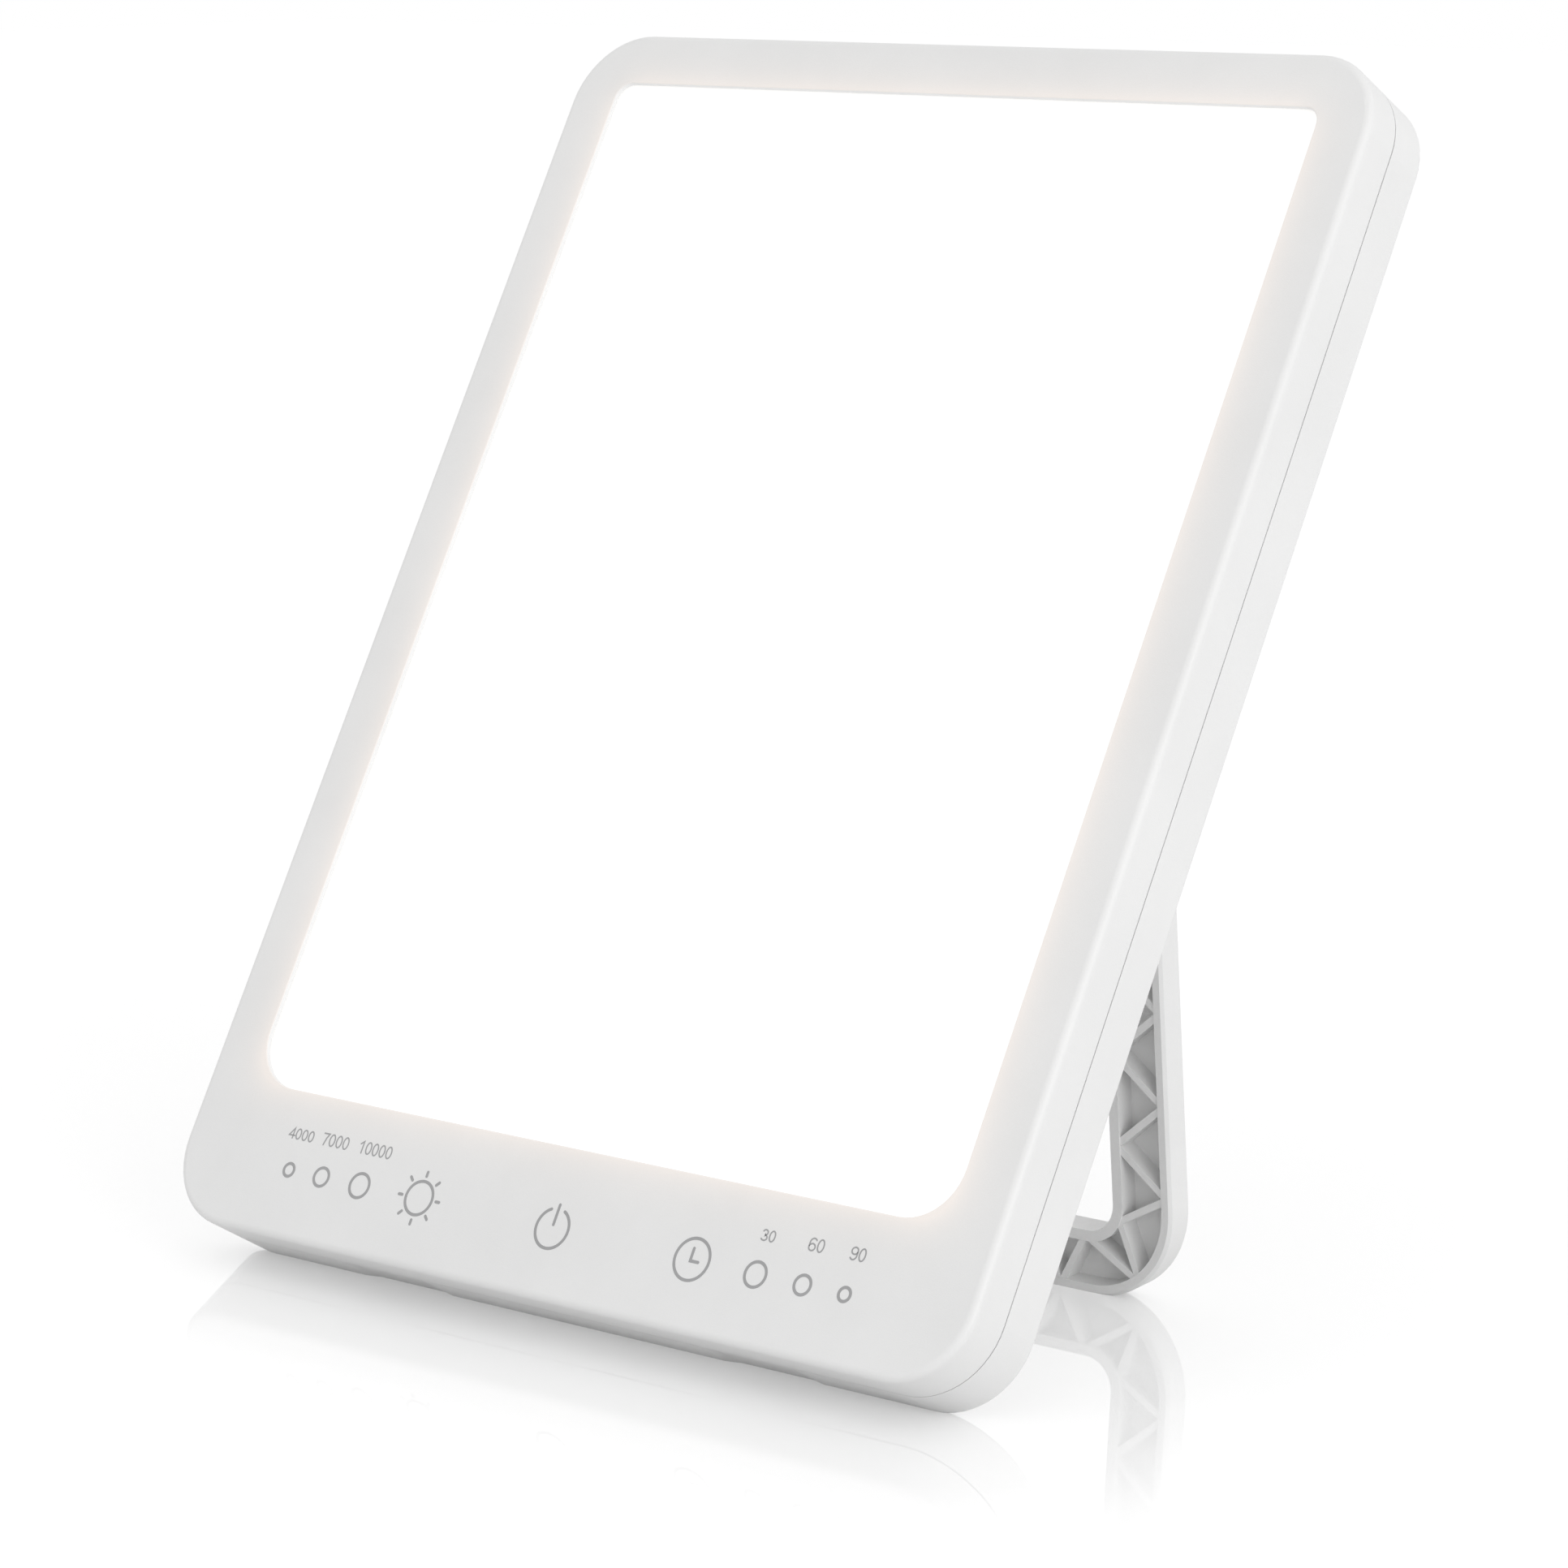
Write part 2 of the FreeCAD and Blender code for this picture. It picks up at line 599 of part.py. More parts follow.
def screws(name, spots, seat, core, head, rise, reach, head_in_front):
    """A set of equal screws: heads on one side of their seat, shanks on the other."""
    body = new_body(name)
    head_level = seat if head_in_front else seat - rise
    heads = new_sketch(body, f"{name}_heads", head_level)
    for x, y in spots:
        circle(heads, x, y, head)
    pad(body, heads, f"{name}_head", rise)
    shanks = new_sketch(body, f"{name}_shanks", seat)
    for x, y in spots:
        circle(shanks, x, y, core)
    pad(body, shanks, f"{name}_shank", reach, reverse=head_in_front)
    drive_level = seat + rise if head_in_front else seat - rise
    drive = new_sketch(body, f"{name}_recesses", drive_level)
    for x, y in spots:
        cross(drive, x, y, d["recess_width"], d["recess_slot"])
    pocket(body, drive, f"{name}_recess", d["recess_sink"], reverse=not head_in_front)
    finish_piece(body, name)


zero = Size("0", 0.0)
housing_spots = [(x, y) for y in screw_rows for x in screw_columns]
control_spots = [(side * x, control_post_line) for side in (-1, 1)
                 for x in (d["control_post_near"], panel_half - d["control_post_side"])]
plate_spots = [(side * (panel_half - d["plate_post_side"]), d["plate_post_low"]) for side in (-1, 1)]
plate_spots += [(side * d["plate_post_near"], plate_post_high) for side in (-1, 1)]
driver_spots = [(side * (d["driver_half"] - d["driver_inset"]), y) for side in (-1, 1)
                for y in (d["driver_low"] + d["driver_inset"],
                          d["driver_low"] + d["driver_rise"] - d["driver_inset"])]


def make_front_housing():
    """Bezel shell: face with the light window, side walls, screw bosses behind."""
    body = new_body("front_housing")
    sketch = new_sketch(body, "front_block", seam_front)
    rectangle(sketch, -panel_half, panel_half, zero, d["panel_height"], d["panel_corner"])
    pad(body, sketch, "front_block_pad", d["front_depth"])
    soften(body, "Fillet", "front_edge", d["front_round"], lambda edge: flat_at(edge, front_face))
    sketch = new_sketch(body, "front_cavity", seam_front)
    rectangle(sketch, -inner_half, inner_half, d["side_wall"], inner_top, inner_corner)
    pocket(body, sketch, "front_hollow", d["front_depth"] - d["face_wall"], reverse=True)
    sketch = new_sketch(body, "window", front_face)
    rectangle(sketch, -window_half, window_half, d["window_bottom"], window_high,
              d["window_corner_low"], d["window_corner_high"])
    pocket(body, sketch, "window_cut", d["face_wall"] + spare)
    sketch = new_sketch(body, "diffuser_rebate", lip_level)
    gap = d["slip_gap"]
    rectangle(sketch, -(stack_half + gap), stack_half + gap, stack_low - gap, stack_high + gap)
    pocket(body, sketch, "rebate_cut", d["face_wall"] - d["lip_wall"])
    sketch = new_sketch(body, "housing_bosses", d["post_top"])
    for x, y in housing_spots:
        circle(sketch, x, y, d["boss_round"])
    pad(body, sketch, "housing_boss_pads", face_inside - d["post_top"])
    sketch = new_sketch(body, "control_posts", control_front)
    for x, y in control_spots:
        circle(sketch, x, y, d["control_post_round"])
    pad(body, sketch, "control_post_pads", d["pad_depth"])
    sketch = new_sketch(body, "plate_posts", reflector_level)
    for x, y in plate_spots:
        circle(sketch, x, y, d["boss_round"])
    pad(body, sketch, "plate_post_pads", face_inside - reflector_level)
    sketch = new_sketch(body, "housing_pilots", d["post_top"])
    for x, y in housing_spots:
        circle(sketch, x, y, pilot_round)
    pocket(body, sketch, "housing_pilot_cuts", d["screw_reach"], reverse=True)
    sketch = new_sketch(body, "control_pilots", control_front)
    for x, y in control_spots:
        circle(sketch, x, y, small_pilot)
    pocket(body, sketch, "control_pilot_cuts", d["small_reach"], reverse=True)
    sketch = new_sketch(body, "plate_pilots", reflector_level)
    for x, y in plate_spots:
        circle(sketch, x, y, small_pilot)
    pocket(body, sketch, "plate_pilot_cuts", d["small_reach"], reverse=True)

    def on_window(edge):
        spot = edge.valueAt((edge.FirstParameter + edge.LastParameter) / 2)
        inside = abs(spot.x) < window_half.number + 0.1 and spot.y > d["window_bottom"].number - 0.1
        return flat_at(edge, front_face) and inside and spot.y < window_high.number + 0.1

    soften(body, "Fillet", "window_edge", d["window_round"], on_window)
    finish_piece(body, "front_housing")


def channel_outline(sketch, grow):
    """The folded stand's outline, grown by a clearance, in the panel frame."""
    far = stand_half + grow
    near = leg_inside - grow
    low = d["hinge_line"] - foot_end - grow
    bar = d["hinge_line"] - foot_end + d["foot_rise"] + grow
    high = d["hinge_line"] + d["heel_reach"] + d["channel_end_gap"] + (grow - d["channel_gap"])
    outer = d["stand_corner"] + grow
    inner = d["stand_inner_corner"] - d["channel_gap"]
    outline(sketch, (
        (-far, low, outer), (far, low, outer), (far, high, 0), (near, high, 0),
        (near, bar, inner), (-near, bar, inner), (-near, high, 0), (-far, high, 0)))


def mirrored_boxes(sketch, near, far, low, high, radius=0):
    """The same rectangle on the left and on the right."""
    rectangle(sketch, near, far, low, high, radius)
    rectangle(sketch, -far, -near, low, high, radius)


def make_rear_housing():
    """Rear shell with the stand's channel, hinge lugs, vents and screw posts."""
    body = new_body("rear_housing")
    sketch = new_sketch(body, "rear_block")
    rectangle(sketch, -panel_half, panel_half, zero, d["panel_height"], d["panel_corner"])
    pad(body, sketch, "rear_block_pad", seam_rear)
    soften(body, "Fillet", "rear_edge", d["rear_round"], lambda edge: flat_at(edge, zero))
    sketch = new_sketch(body, "rear_cavity", d["rear_wall"])
    rectangle(sketch, -inner_half, inner_half, d["side_wall"], inner_top, inner_corner)
    pocket(body, sketch, "rear_hollow", seam_rear - d["rear_wall"], reverse=True)

    # Material inside the shell: channel, lugs, posts, scoop block
    sketch = new_sketch(body, "channel_block", d["rear_wall"])
    channel_outline(sketch, d["channel_gap"] + d["channel_wall"])
    pad(body, sketch, "channel_block_pad", channel_roof - d["rear_wall"])
    lug_low = d["hinge_line"] - d["lug_below"]
    lug_high = d["hinge_line"] + d["lug_above"]
    sketch = new_sketch(body, "hinge_lugs", d["rear_wall"])
    lug_outside = stand_half + d["channel_gap"] + d["lug_width"]
    lug_inside = leg_inside - d["channel_gap"] - d["lug_width"]
    mirrored_boxes(sketch, lug_inside, lug_outside, lug_low, lug_high)
    pad(body, sketch, "hinge_lug_pads", channel_roof - d["rear_wall"])
    sketch = new_sketch(body, "rear_posts", d["rear_wall"])
    for x, y in housing_spots:
        circle(sketch, x, y, d["post_round"])
    pad(body, sketch, "rear_post_pads", d["post_top"] - d["rear_wall"])
    sketch = new_sketch(body, "driver_posts", d["rear_wall"])
    for x, y in driver_spots:
        circle(sketch, x, y, d["boss_round"])
    pad(body, sketch, "driver_post_pads", d["driver_stand_off"])
    foot_low = d["hinge_line"] - foot_end - d["channel_gap"]
    scoop_low = foot_low - d["scoop_rise"]
    sketch = new_sketch(body, "scoop_block", d["rear_wall"])
    wall = d["channel_wall"]
    rectangle(sketch, -(d["scoop_half"] + wall), d["scoop_half"] + wall, scoop_low - wall, foot_low)
    pad(body, sketch, "scoop_block_pad", d["scoop_sink"] + wall - d["rear_wall"])
    outside = inner_half - d["slip_gap"]
    root_low = seam_rear - d["tongue_reach"]
    sketch = new_sketch(body, "tongue_root", root_low)
    edge = d["side_wall"] / 2
    rectangle(sketch, -(panel_half - edge), panel_half - edge, edge, d["panel_height"] - edge,
              d["panel_corner"] - edge)
    edge = d["side_wall"] + d["slip_gap"] + d["tongue_wall"]
    rectangle(sketch, -(panel_half - edge), panel_half - edge, edge, d["panel_height"] - edge,
              d["panel_corner"] - edge)
    pad(body, sketch, "tongue_root_pad", d["tongue_reach"])
    sketch = new_sketch(body, "tongue", seam_rear)
    inside = outside - d["tongue_wall"]
    low = d["side_wall"] + d["slip_gap"]
    rectangle(sketch, -outside, outside, low, d["panel_height"] - low, inner_corner - d["slip_gap"])
    low_inside = low + d["tongue_wall"]
    rectangle(sketch, -inside, inside, low_inside, d["panel_height"] - low_inside,
              inner_corner - d["slip_gap"] - d["tongue_wall"])
    pad(body, sketch, "tongue_pad", d["tongue_reach"])

    # Cuts from the rear face
    sketch = new_sketch(body, "channel")
    channel_outline(sketch, d["channel_gap"])
    pocket(body, sketch, "channel_cut", channel_depth, reverse=True)
    sketch = new_sketch(body, "scoop")
    rectangle(sketch, -d["scoop_half"], d["scoop_half"], scoop_low, foot_low + spare)
    pocket(body, sketch, "scoop_cut", d["scoop_sink"], reverse=True)
    sketch = new_sketch(body, "counterbores")
    for x, y in housing_spots:
        circle(sketch, x, y, d["screw_head"] + d["counterbore_gap"])
    pocket(body, sketch, "counterbore_cuts", head_seat, reverse=True)
    sketch = new_sketch(body, "screw_holes")
    for x, y in housing_spots:
        circle(sketch, x, y, d["screw_core"] + d["hole_gap"])
    pocket(body, sketch, "screw_hole_cuts", d["post_top"], reverse=True)
    sketch = new_sketch(body, "driver_pilots", driver_level)
    for x, y in driver_spots:
        circle(sketch, x, y, small_pilot)
    pocket(body, sketch, "driver_pilot_cuts", d["driver_stand_off"] + d["driver_pilot_sink"])
    sketch = new_sketch(body, "plaque")
    rectangle(sketch, -d["plaque_half"], d["plaque_half"], d["plaque_low"],
              d["plaque_low"] + d["plaque_rise"], d["plaque_corner"])
    pocket(body, sketch, "plaque_cut", d["plaque_sink"], reverse=True)
    for group, line, count in (("high", d["vent_line"], d["vent_count"]),
                               ("low", d["vent_low_line"], d["vent_low_count"])):
        sketch = new_sketch(body, f"vents_{group}")
        mirrored_boxes(sketch, d["vent_inset"], d["vent_inset"] + d["vent_length"],
                       line, line + d["vent_width"], d["vent_width"] * vent_end_share)
        slots = pocket(body, sketch, f"vent_cuts_{group}", d["rear_wall"] + spare, reverse=True)
        repeat_up(body, sketch, slots, f"vent_rows_{group}", d["vent_pitch"], count)

    # Hinge pin bores run from the inside of each inner lug into the outer lug
    for side, name in ((1, "right"), (-1, "left")):
        sketch = new_sketch(body, f"pin_bore_{name}", side * lug_inside, "YZ_Plane")
        circle(sketch, d["hinge_line"], hinge_level, d["pin_round"] + d["pin_fit"])
        length = lug_outside - lug_inside - d["lug_end_wall"]
        pocket(body, sketch, f"pin_bore_cut_{name}", length, reverse=side > 0)
        sketch = new_sketch(body, f"keeper_pilot_{name}", side * lug_inside, "YZ_Plane")
        circle(sketch, keeper_screw_line, keeper_screw_level, small_pilot)
        pocket(body, sketch, f"keeper_pilot_cut_{name}", d["small_reach"], reverse=side > 0)

    # Power inlet hole in the left wall
    sketch = new_sketch(body, "inlet_hole", -panel_half, "YZ_Plane")
    circle(sketch, d["inlet_line"], d["inlet_level"], d["inlet_nose"] + d["slip_gap"])
    pocket(body, sketch, "inlet_hole_cut", panel_half - tongue_inside + spare, reverse=True)

    # Underside: two shallow notches, and the land that stands on the table
    sketch = new_sketch(body, "underside_notches")
    far = panel_half - d["notch_inset"]
    near = far - d["notch_length"]
    for side in (-1, 1):
        polygon(sketch, (
            (side * near, -d["notch_sink"]), (side * near, zero),
            (side * (near + d["notch_slope"]), d["notch_sink"]),
            (side * (far - d["notch_slope"]), d["notch_sink"]),
            (side * far, zero), (side * far, -d["notch_sink"])))
    pocket(body, sketch, "underside_notch_cuts", seam_rear, reverse=True)
    up_rear = d["rest_rise"] / cosine(d["tilt_angle"])
    up_bottom = d["rest_rise"] / sine(d["tilt_angle"])
    sketch = new_sketch(body, "rest_land", 0.0, "YZ_Plane")
    polygon(sketch, ((-up_rear, -up_bottom), (-up_rear, up_bottom * 2), (up_rear * 2, -up_bottom)))
    pocket(body, sketch, "rest_land_cut", d["panel_width"], middle=True)
    finish_piece(body, "rear_housing")


def make_optical_stack():
    """Gasket, diffuser, film, light guide and reflector, seated on each other."""
    body = new_body("diffuser_gasket")
    sketch = new_sketch(body, "gasket_outline", gasket_level)
    rectangle(sketch, -stack_half, stack_half, stack_low, stack_high)
    edge = d["gasket_inset"]
    rectangle(sketch, -(window_half + edge), window_half + edge, d["window_bottom"] - edge,
              window_high + edge, d["window_corner_low"], d["window_corner_high"])
    pad(body, sketch, "gasket_pad", d["gasket_depth"])
    finish_piece(body, "diffuser_gasket")
    slab("diffuser_panel", "diffuser_panel", -stack_half, stack_half, stack_low, stack_high,
         diffuser_level, d["diffuser_depth"], d["sheet_corner"])
    slab("diffusing_film", "diffusing_film", -guide_half, guide_half, stack_low, stack_high,
         film_level, d["film_depth"])
    slab("light_guide_plate", "light_guide_plate", -guide_half, guide_half, stack_low, stack_high,
         guide_level, d["guide_depth"])
    slab("reflector_sheet", "reflector_sheet", -guide_half, guide_half, stack_low, stack_high,
         reflector_level, d["reflector_depth"])


def make_back_plate():
    """Aluminium plate behind the stack, with a folded rail at each side for the leds."""
    body = new_body("back_plate")
    sketch = new_sketch(body, "plate_outline", plate_level)
    ear = d["boss_round"] + d["plate_depth"]
    ear_high = plate_post_high + d["boss_round"]
    near, far = d["plate_post_near"] - ear, d["plate_post_near"] + ear
    outline(sketch, (
        (-rail_outside, d["plate_low"], 0), (rail_outside, d["plate_low"], 0),
        (rail_outside, stack_high, 0), (far, stack_high, 0), (far, ear_high, 0), (near, ear_high, 0),
        (near, stack_high, 0), (-near, stack_high, 0), (-near, ear_high, 0), (-far, ear_high, 0),
        (-far, stack_high, 0), (-rail_outside, stack_high, 0)))
    pad(body, sketch, "plate_pad", d["plate_depth"])
    sketch = new_sketch(body, "rails", reflector_level)
    mirrored_boxes(sketch, rail_inside, rail_outside, stack_low, stack_high)
    pad(body, sketch, "rail_pads", film_level - reflector_level)
    sketch = new_sketch(body, "plate_holes", plate_level)
    for x, y in plate_spots:
        circle(sketch, x, y, small_hole)
    pocket(body, sketch, "plate_hole_cuts", d["plate_depth"], reverse=True)
    sketch = new_sketch(body, "lead_slots", plate_level)
    half = d["lead_width"] / 2 + d["slip_gap"] * 2
    mirrored_boxes(sketch, lead_column - d["lead_wall"] / 2 - d["slip_gap"],
                   lead_column + d["lead_wall"] / 2 + d["slip_gap"], lead_line - half, lead_line + half)
    pocket(body, sketch, "lead_slot_cuts", d["plate_depth"], reverse=True)
    finish_piece(body, "back_plate")


def make_led_rows():
    """A led board on each rail, and its row of leds facing the light guide's edge."""
    height = film_level - reflector_level
    for side, name in ((-1, "left"), (1, "right")):
        edges = sorted((side * led_back, side * rail_inside), key=amount)
        slab(f"led_board_{name}", f"led_board_{name}", edges[0], edges[1], stack_low, stack_high,
             reflector_level, height)
        body = new_body(f"leds_{name}")
        level = reflector_level + (height - d["led_breadth"]) / 2
        sketch = new_sketch(body, f"led_outline_{name}", level)
        edges = sorted((side * led_face, side * led_back), key=amount)
        rectangle(sketch, edges[0], edges[1], stack_low + d["led_length"],
                  stack_low + d["led_length"] * 2)
        led = pad(body, sketch, f"led_{name}", d["led_breadth"])
        repeat_up(body, sketch, led, f"led_row_{name}", d["led_pitch"], d["led_count"])
        finish_piece(body, f"leds_{name}")


def make_controls():
    """Touch electrodes, indicators and light pipes between their board and the bezel."""
    body = new_body("control_board")
    sketch = new_sketch(body, "control_outline", control_back)
    half = panel_half - d["control_inset"]
    rectangle(sketch, -half, half, d["control_low"], d["control_low"] + d["control_rise"],
              d["sheet_corner"])
    pad(body, sketch, "control_pad", d["board_depth"])
    sketch = new_sketch(body, "control_holes", control_back)
    for x, y in control_spots:
        circle(sketch, x, y, small_hole)
    pocket(body, sketch, "control_hole_cuts", d["board_depth"], reverse=True)
    finish_piece(body, "control_board")
    key_column = panel_half - d["key_inset"]
    for x, name in ((-key_column, "light"), (zero, "power"), (key_column, "timer")):
        discs(f"touch_pad_{name}", f"touch_pad_{name}", ((x, d["legend_line"], d["key_round"]),),
              control_front, d["pad_depth"])
    spots = [(side * (panel_half - inset), d["legend_line"]) for side in (-1, 1)
             for inset in (d["lamp_far"], d["lamp_middle"], d["lamp_near"])]
    body = new_body("indicator_leds")
    sketch = new_sketch(body, "indicator_outline", control_front)
    half = d["led_breadth"] / 2
    for x, y in spots:
        rectangle(sketch, x - half, x + half, y - half, y + half)
    pad(body, sketch, "indicator_pad", d["led_rise"])
    finish_piece(body, "indicator_leds")
    widths = (d["pipe_small"], d["pipe_middle"], d["pipe_large"])
    pipe_level = control_front + d["led_rise"]
    for name, group in (("light", spots[:3]), ("timer", spots[3:])):
        discs(f"light_pipes_{name}", f"light_pipes_{name}",
              [(x, y, radius) for (x, y), radius in zip(group, widths)],
              pipe_level, face_inside - pipe_level)
    chip = d["board_depth"]
    half = d["chip_half"]
    line = d["plate_low"] - d["chip_drop"]
    slab("touch_chip", "touch_chip", -(d["chip_line"] + half), half - d["chip_line"], line - half,
         line + half, control_back - chip, chip)


def make_driver():
    """Driver board on posts of the rear shell, with the parts that feed the leds."""
    low = d["driver_low"]
    high = low + d["driver_rise"]
    body = new_body("driver_board")
    sketch = new_sketch(body, "driver_outline", driver_level)
    rectangle(sketch, -d["driver_half"], d["driver_half"], low, high, d["sheet_corner"])
    pad(body, sketch, "driver_pad", d["board_depth"])
    sketch = new_sketch(body, "driver_holes", driver_level)
    for x, y in driver_spots:
        circle(sketch, x, y, small_hole)
    pocket(body, sketch, "driver_hole_cuts", d["board_depth"], reverse=True)
    finish_piece(body, "driver_board")
    half = d["driver_half"] - d["driver_inset"] - d["boss_round"] - d["insulator_gap"]
    slab("driver_insulator", "driver_insulator", -half, half, low, high,
         driver_level - d["insulator_depth"], d["insulator_depth"])
    discs("driver_inductor", "driver_inductor", ((d["coil_offset"], driver_middle, d["coil_round"]),),
          driver_face, d["coil_rise"])
    lower = low + d["driver_rise"] * 0.3
    upper = high - d["driver_rise"] * 0.3
    discs("driver_capacitors", "driver_capacitors",
          [(-d["capacitor_offset"], line, d["capacitor_round"]) for line in (lower, upper)],
          driver_face, d["capacitor_rise"])
    body = new_body("driver_chips")
    sketch = new_sketch(body, "chip_outlines", driver_face)
    for x, y, half in ((-d["coil_offset"], lower, d["large_chip_half"]),
                       (-d["coil_offset"], upper, d["small_chip_half"]),
                       (d["capacitor_offset"], lower, d["large_chip_half"])):
        rectangle(sketch, x - half, x + half, y - half, y + half)
    pad(body, sketch, "chip_pads", d["driver_chip_rise"])
    finish_piece(body, "driver_chips")
    body = new_body("driver_sockets")
    sketch = new_sketch(body, "socket_outlines", driver_face)
    edge = d["driver_half"] - d["socket_inset"]
    half = d["socket_wide"] / 2
    mirrored_boxes(sketch, edge - d["socket_reach"], edge, driver_middle - half, driver_middle + half)
    half = d["socket_long"] / 2
    edge = low + d["socket_inset"]
    rectangle(sketch, -half, half, edge, edge + d["socket_deep"])
    pad(body, sketch, "socket_pads", d["socket_rise"])
    finish_piece(body, "driver_sockets")


def make_inlet():
    """Power inlet: a socket in the left wall with a centre pin."""
    body = new_body("power_inlet")
    half = d["inlet_width"] / 2
    rear = d["inlet_level"] - half + d["inlet_trim"]
    sketch = new_sketch(body, "inlet_block", rear)
    rectangle(sketch, -inlet_outside, -inlet_inside, d["inlet_line"] - half, d["inlet_line"] + half)
    pad(body, sketch, "inlet_block_pad", inlet_front - rear)
    sketch = new_sketch(body, "inlet_nose", -inlet_outside, "YZ_Plane")
    circle(sketch, d["inlet_line"], d["inlet_level"], d["inlet_nose"])
    pad(body, sketch, "inlet_nose_pad", panel_half - inlet_outside - d["hole_gap"], reverse=True)
    sketch = new_sketch(body, "inlet_socket", -panel_half, "YZ_Plane")
    circle(sketch, d["inlet_line"], d["inlet_level"], d["inlet_bore"])
    pocket(body, sketch, "inlet_socket_cut", d["inlet_sink"], reverse=True)
    finish_piece(body, "power_inlet")
    body = new_body("inlet_pin")
    sketch = new_sketch(body, "inlet_pin_outline", d["inlet_sink"] - panel_half, "YZ_Plane")
    circle(sketch, d["inlet_line"], d["inlet_level"], d["inlet_pin"])
    pad(body, sketch, "inlet_pin_pad", d["inlet_sink"] - d["inlet_pin_sink"], reverse=True)
    finish_piece(body, "inlet_pin")


def bent_strip(name, path, width, thickness, along):
    """A flat lead: straight runs joined by arcs, swept with a rectangular section."""
    spots = [FreeCAD.Vector(*[amount(value) for value in spot]) for spot in path]
    bend = d["lead_bend"].number
    edges = []
    start = spots[0]
    for before, here, after in zip(spots, spots[1:], spots[2:]):
        back = (before - here).normalize()
        towards = (after - here).normalize()
        half = back.getAngle(towards) / 2
        trim = bend / math.tan(half)
        middle = (back + towards).normalize()
        centre = here + middle * (bend / math.sin(half))
        first = here + back * trim
        last = here + towards * trim
        edges.append(Part.LineSegment(start, first).toShape())
        edges.append(Part.Arc(first, centre - middle * bend, last).toShape())
        start = last
    edges.append(Part.LineSegment(start, spots[-1]).toShape())
    wire = Part.Wire(edges)
    side = FreeCAD.Vector(*along) * (amount(width) / 2)
    up = (spots[1] - spots[0]).normalize().cross(side).normalize() * (amount(thickness) / 2)
    corners = [spots[0] + side + up, spots[0] - side + up, spots[0] - side - up, spots[0] + side - up]
    section = Part.makePolygon(corners + corners[:1])
    shape = wire.makePipeShell([section], True, False)
    item = document.addObject("Part::Feature", name)
    item.Shape = shape
    finish_piece(item, name)


def make_leads():
    """Flat leads from the inlet to the driver, and on to the led boards and controls."""
    level = inlet_front - d["inlet_lead_width"] / 2
    column = -(d["driver_half"] + d["inlet_lead_side"])
    line = driver_middle - d["lead_offset"]
    bent_strip("inlet_lead", (
        (-inlet_inside, d["inlet_line"], level), (column, d["inlet_line"], level),
        (column, line, level), (d["socket_inset"] - d["driver_half"], line, level)),
        d["inlet_lead_width"], d["lead_wall"], (0, 0, 1))
    over = socket_top + d["lead_wall"] / 2
    for side, name in ((-1, "left"), (1, "right")):
        bent_strip(f"led_lead_{name}", (
            (side * (d["driver_half"] - d["lead_landing"]), lead_line, over),
            (side * lead_column, lead_line, over), (side * lead_column, lead_line, reflector_level)),
            d["lead_width"], d["lead_wall"], (0, 1, 0))
    ribbon_line = d["control_low"] + d["control_rise"] / 4
    level = socket_top + d["ribbon_wall"] / 2
    bent_strip("control_ribbon", (
        (0, ribbon_line, control_back), (0, ribbon_line, level),
        (0, d["driver_low"] + d["ribbon_landing"], level)), d["ribbon_width"], d["ribbon_wall"], (1, 0, 0))


def make_screws():
    """Every set of screws, each set one node."""
    screws("housing_screws", housing_spots, head_seat, d["screw_core"], d["screw_head"],
           d["head_rise"], d["screw_reach"], False)
    screws("control_screws", control_spots, control_back, d["small_core"], d["small_head"],
           d["small_rise"], d["small_reach"] + d["board_depth"] - d["hole_gap"], False)
    screws("plate_screws", plate_spots, plate_level, d["small_core"], d["small_head"],
           d["small_rise"], d["small_reach"] + d["plate_depth"] - d["hole_gap"], False)
    screws("driver_screws", driver_spots, driver_face, d["small_core"], d["small_head"], d["small_rise"],
           driver_face - d["rear_wall"] + d["driver_pilot_sink"] - d["hole_gap"], True)


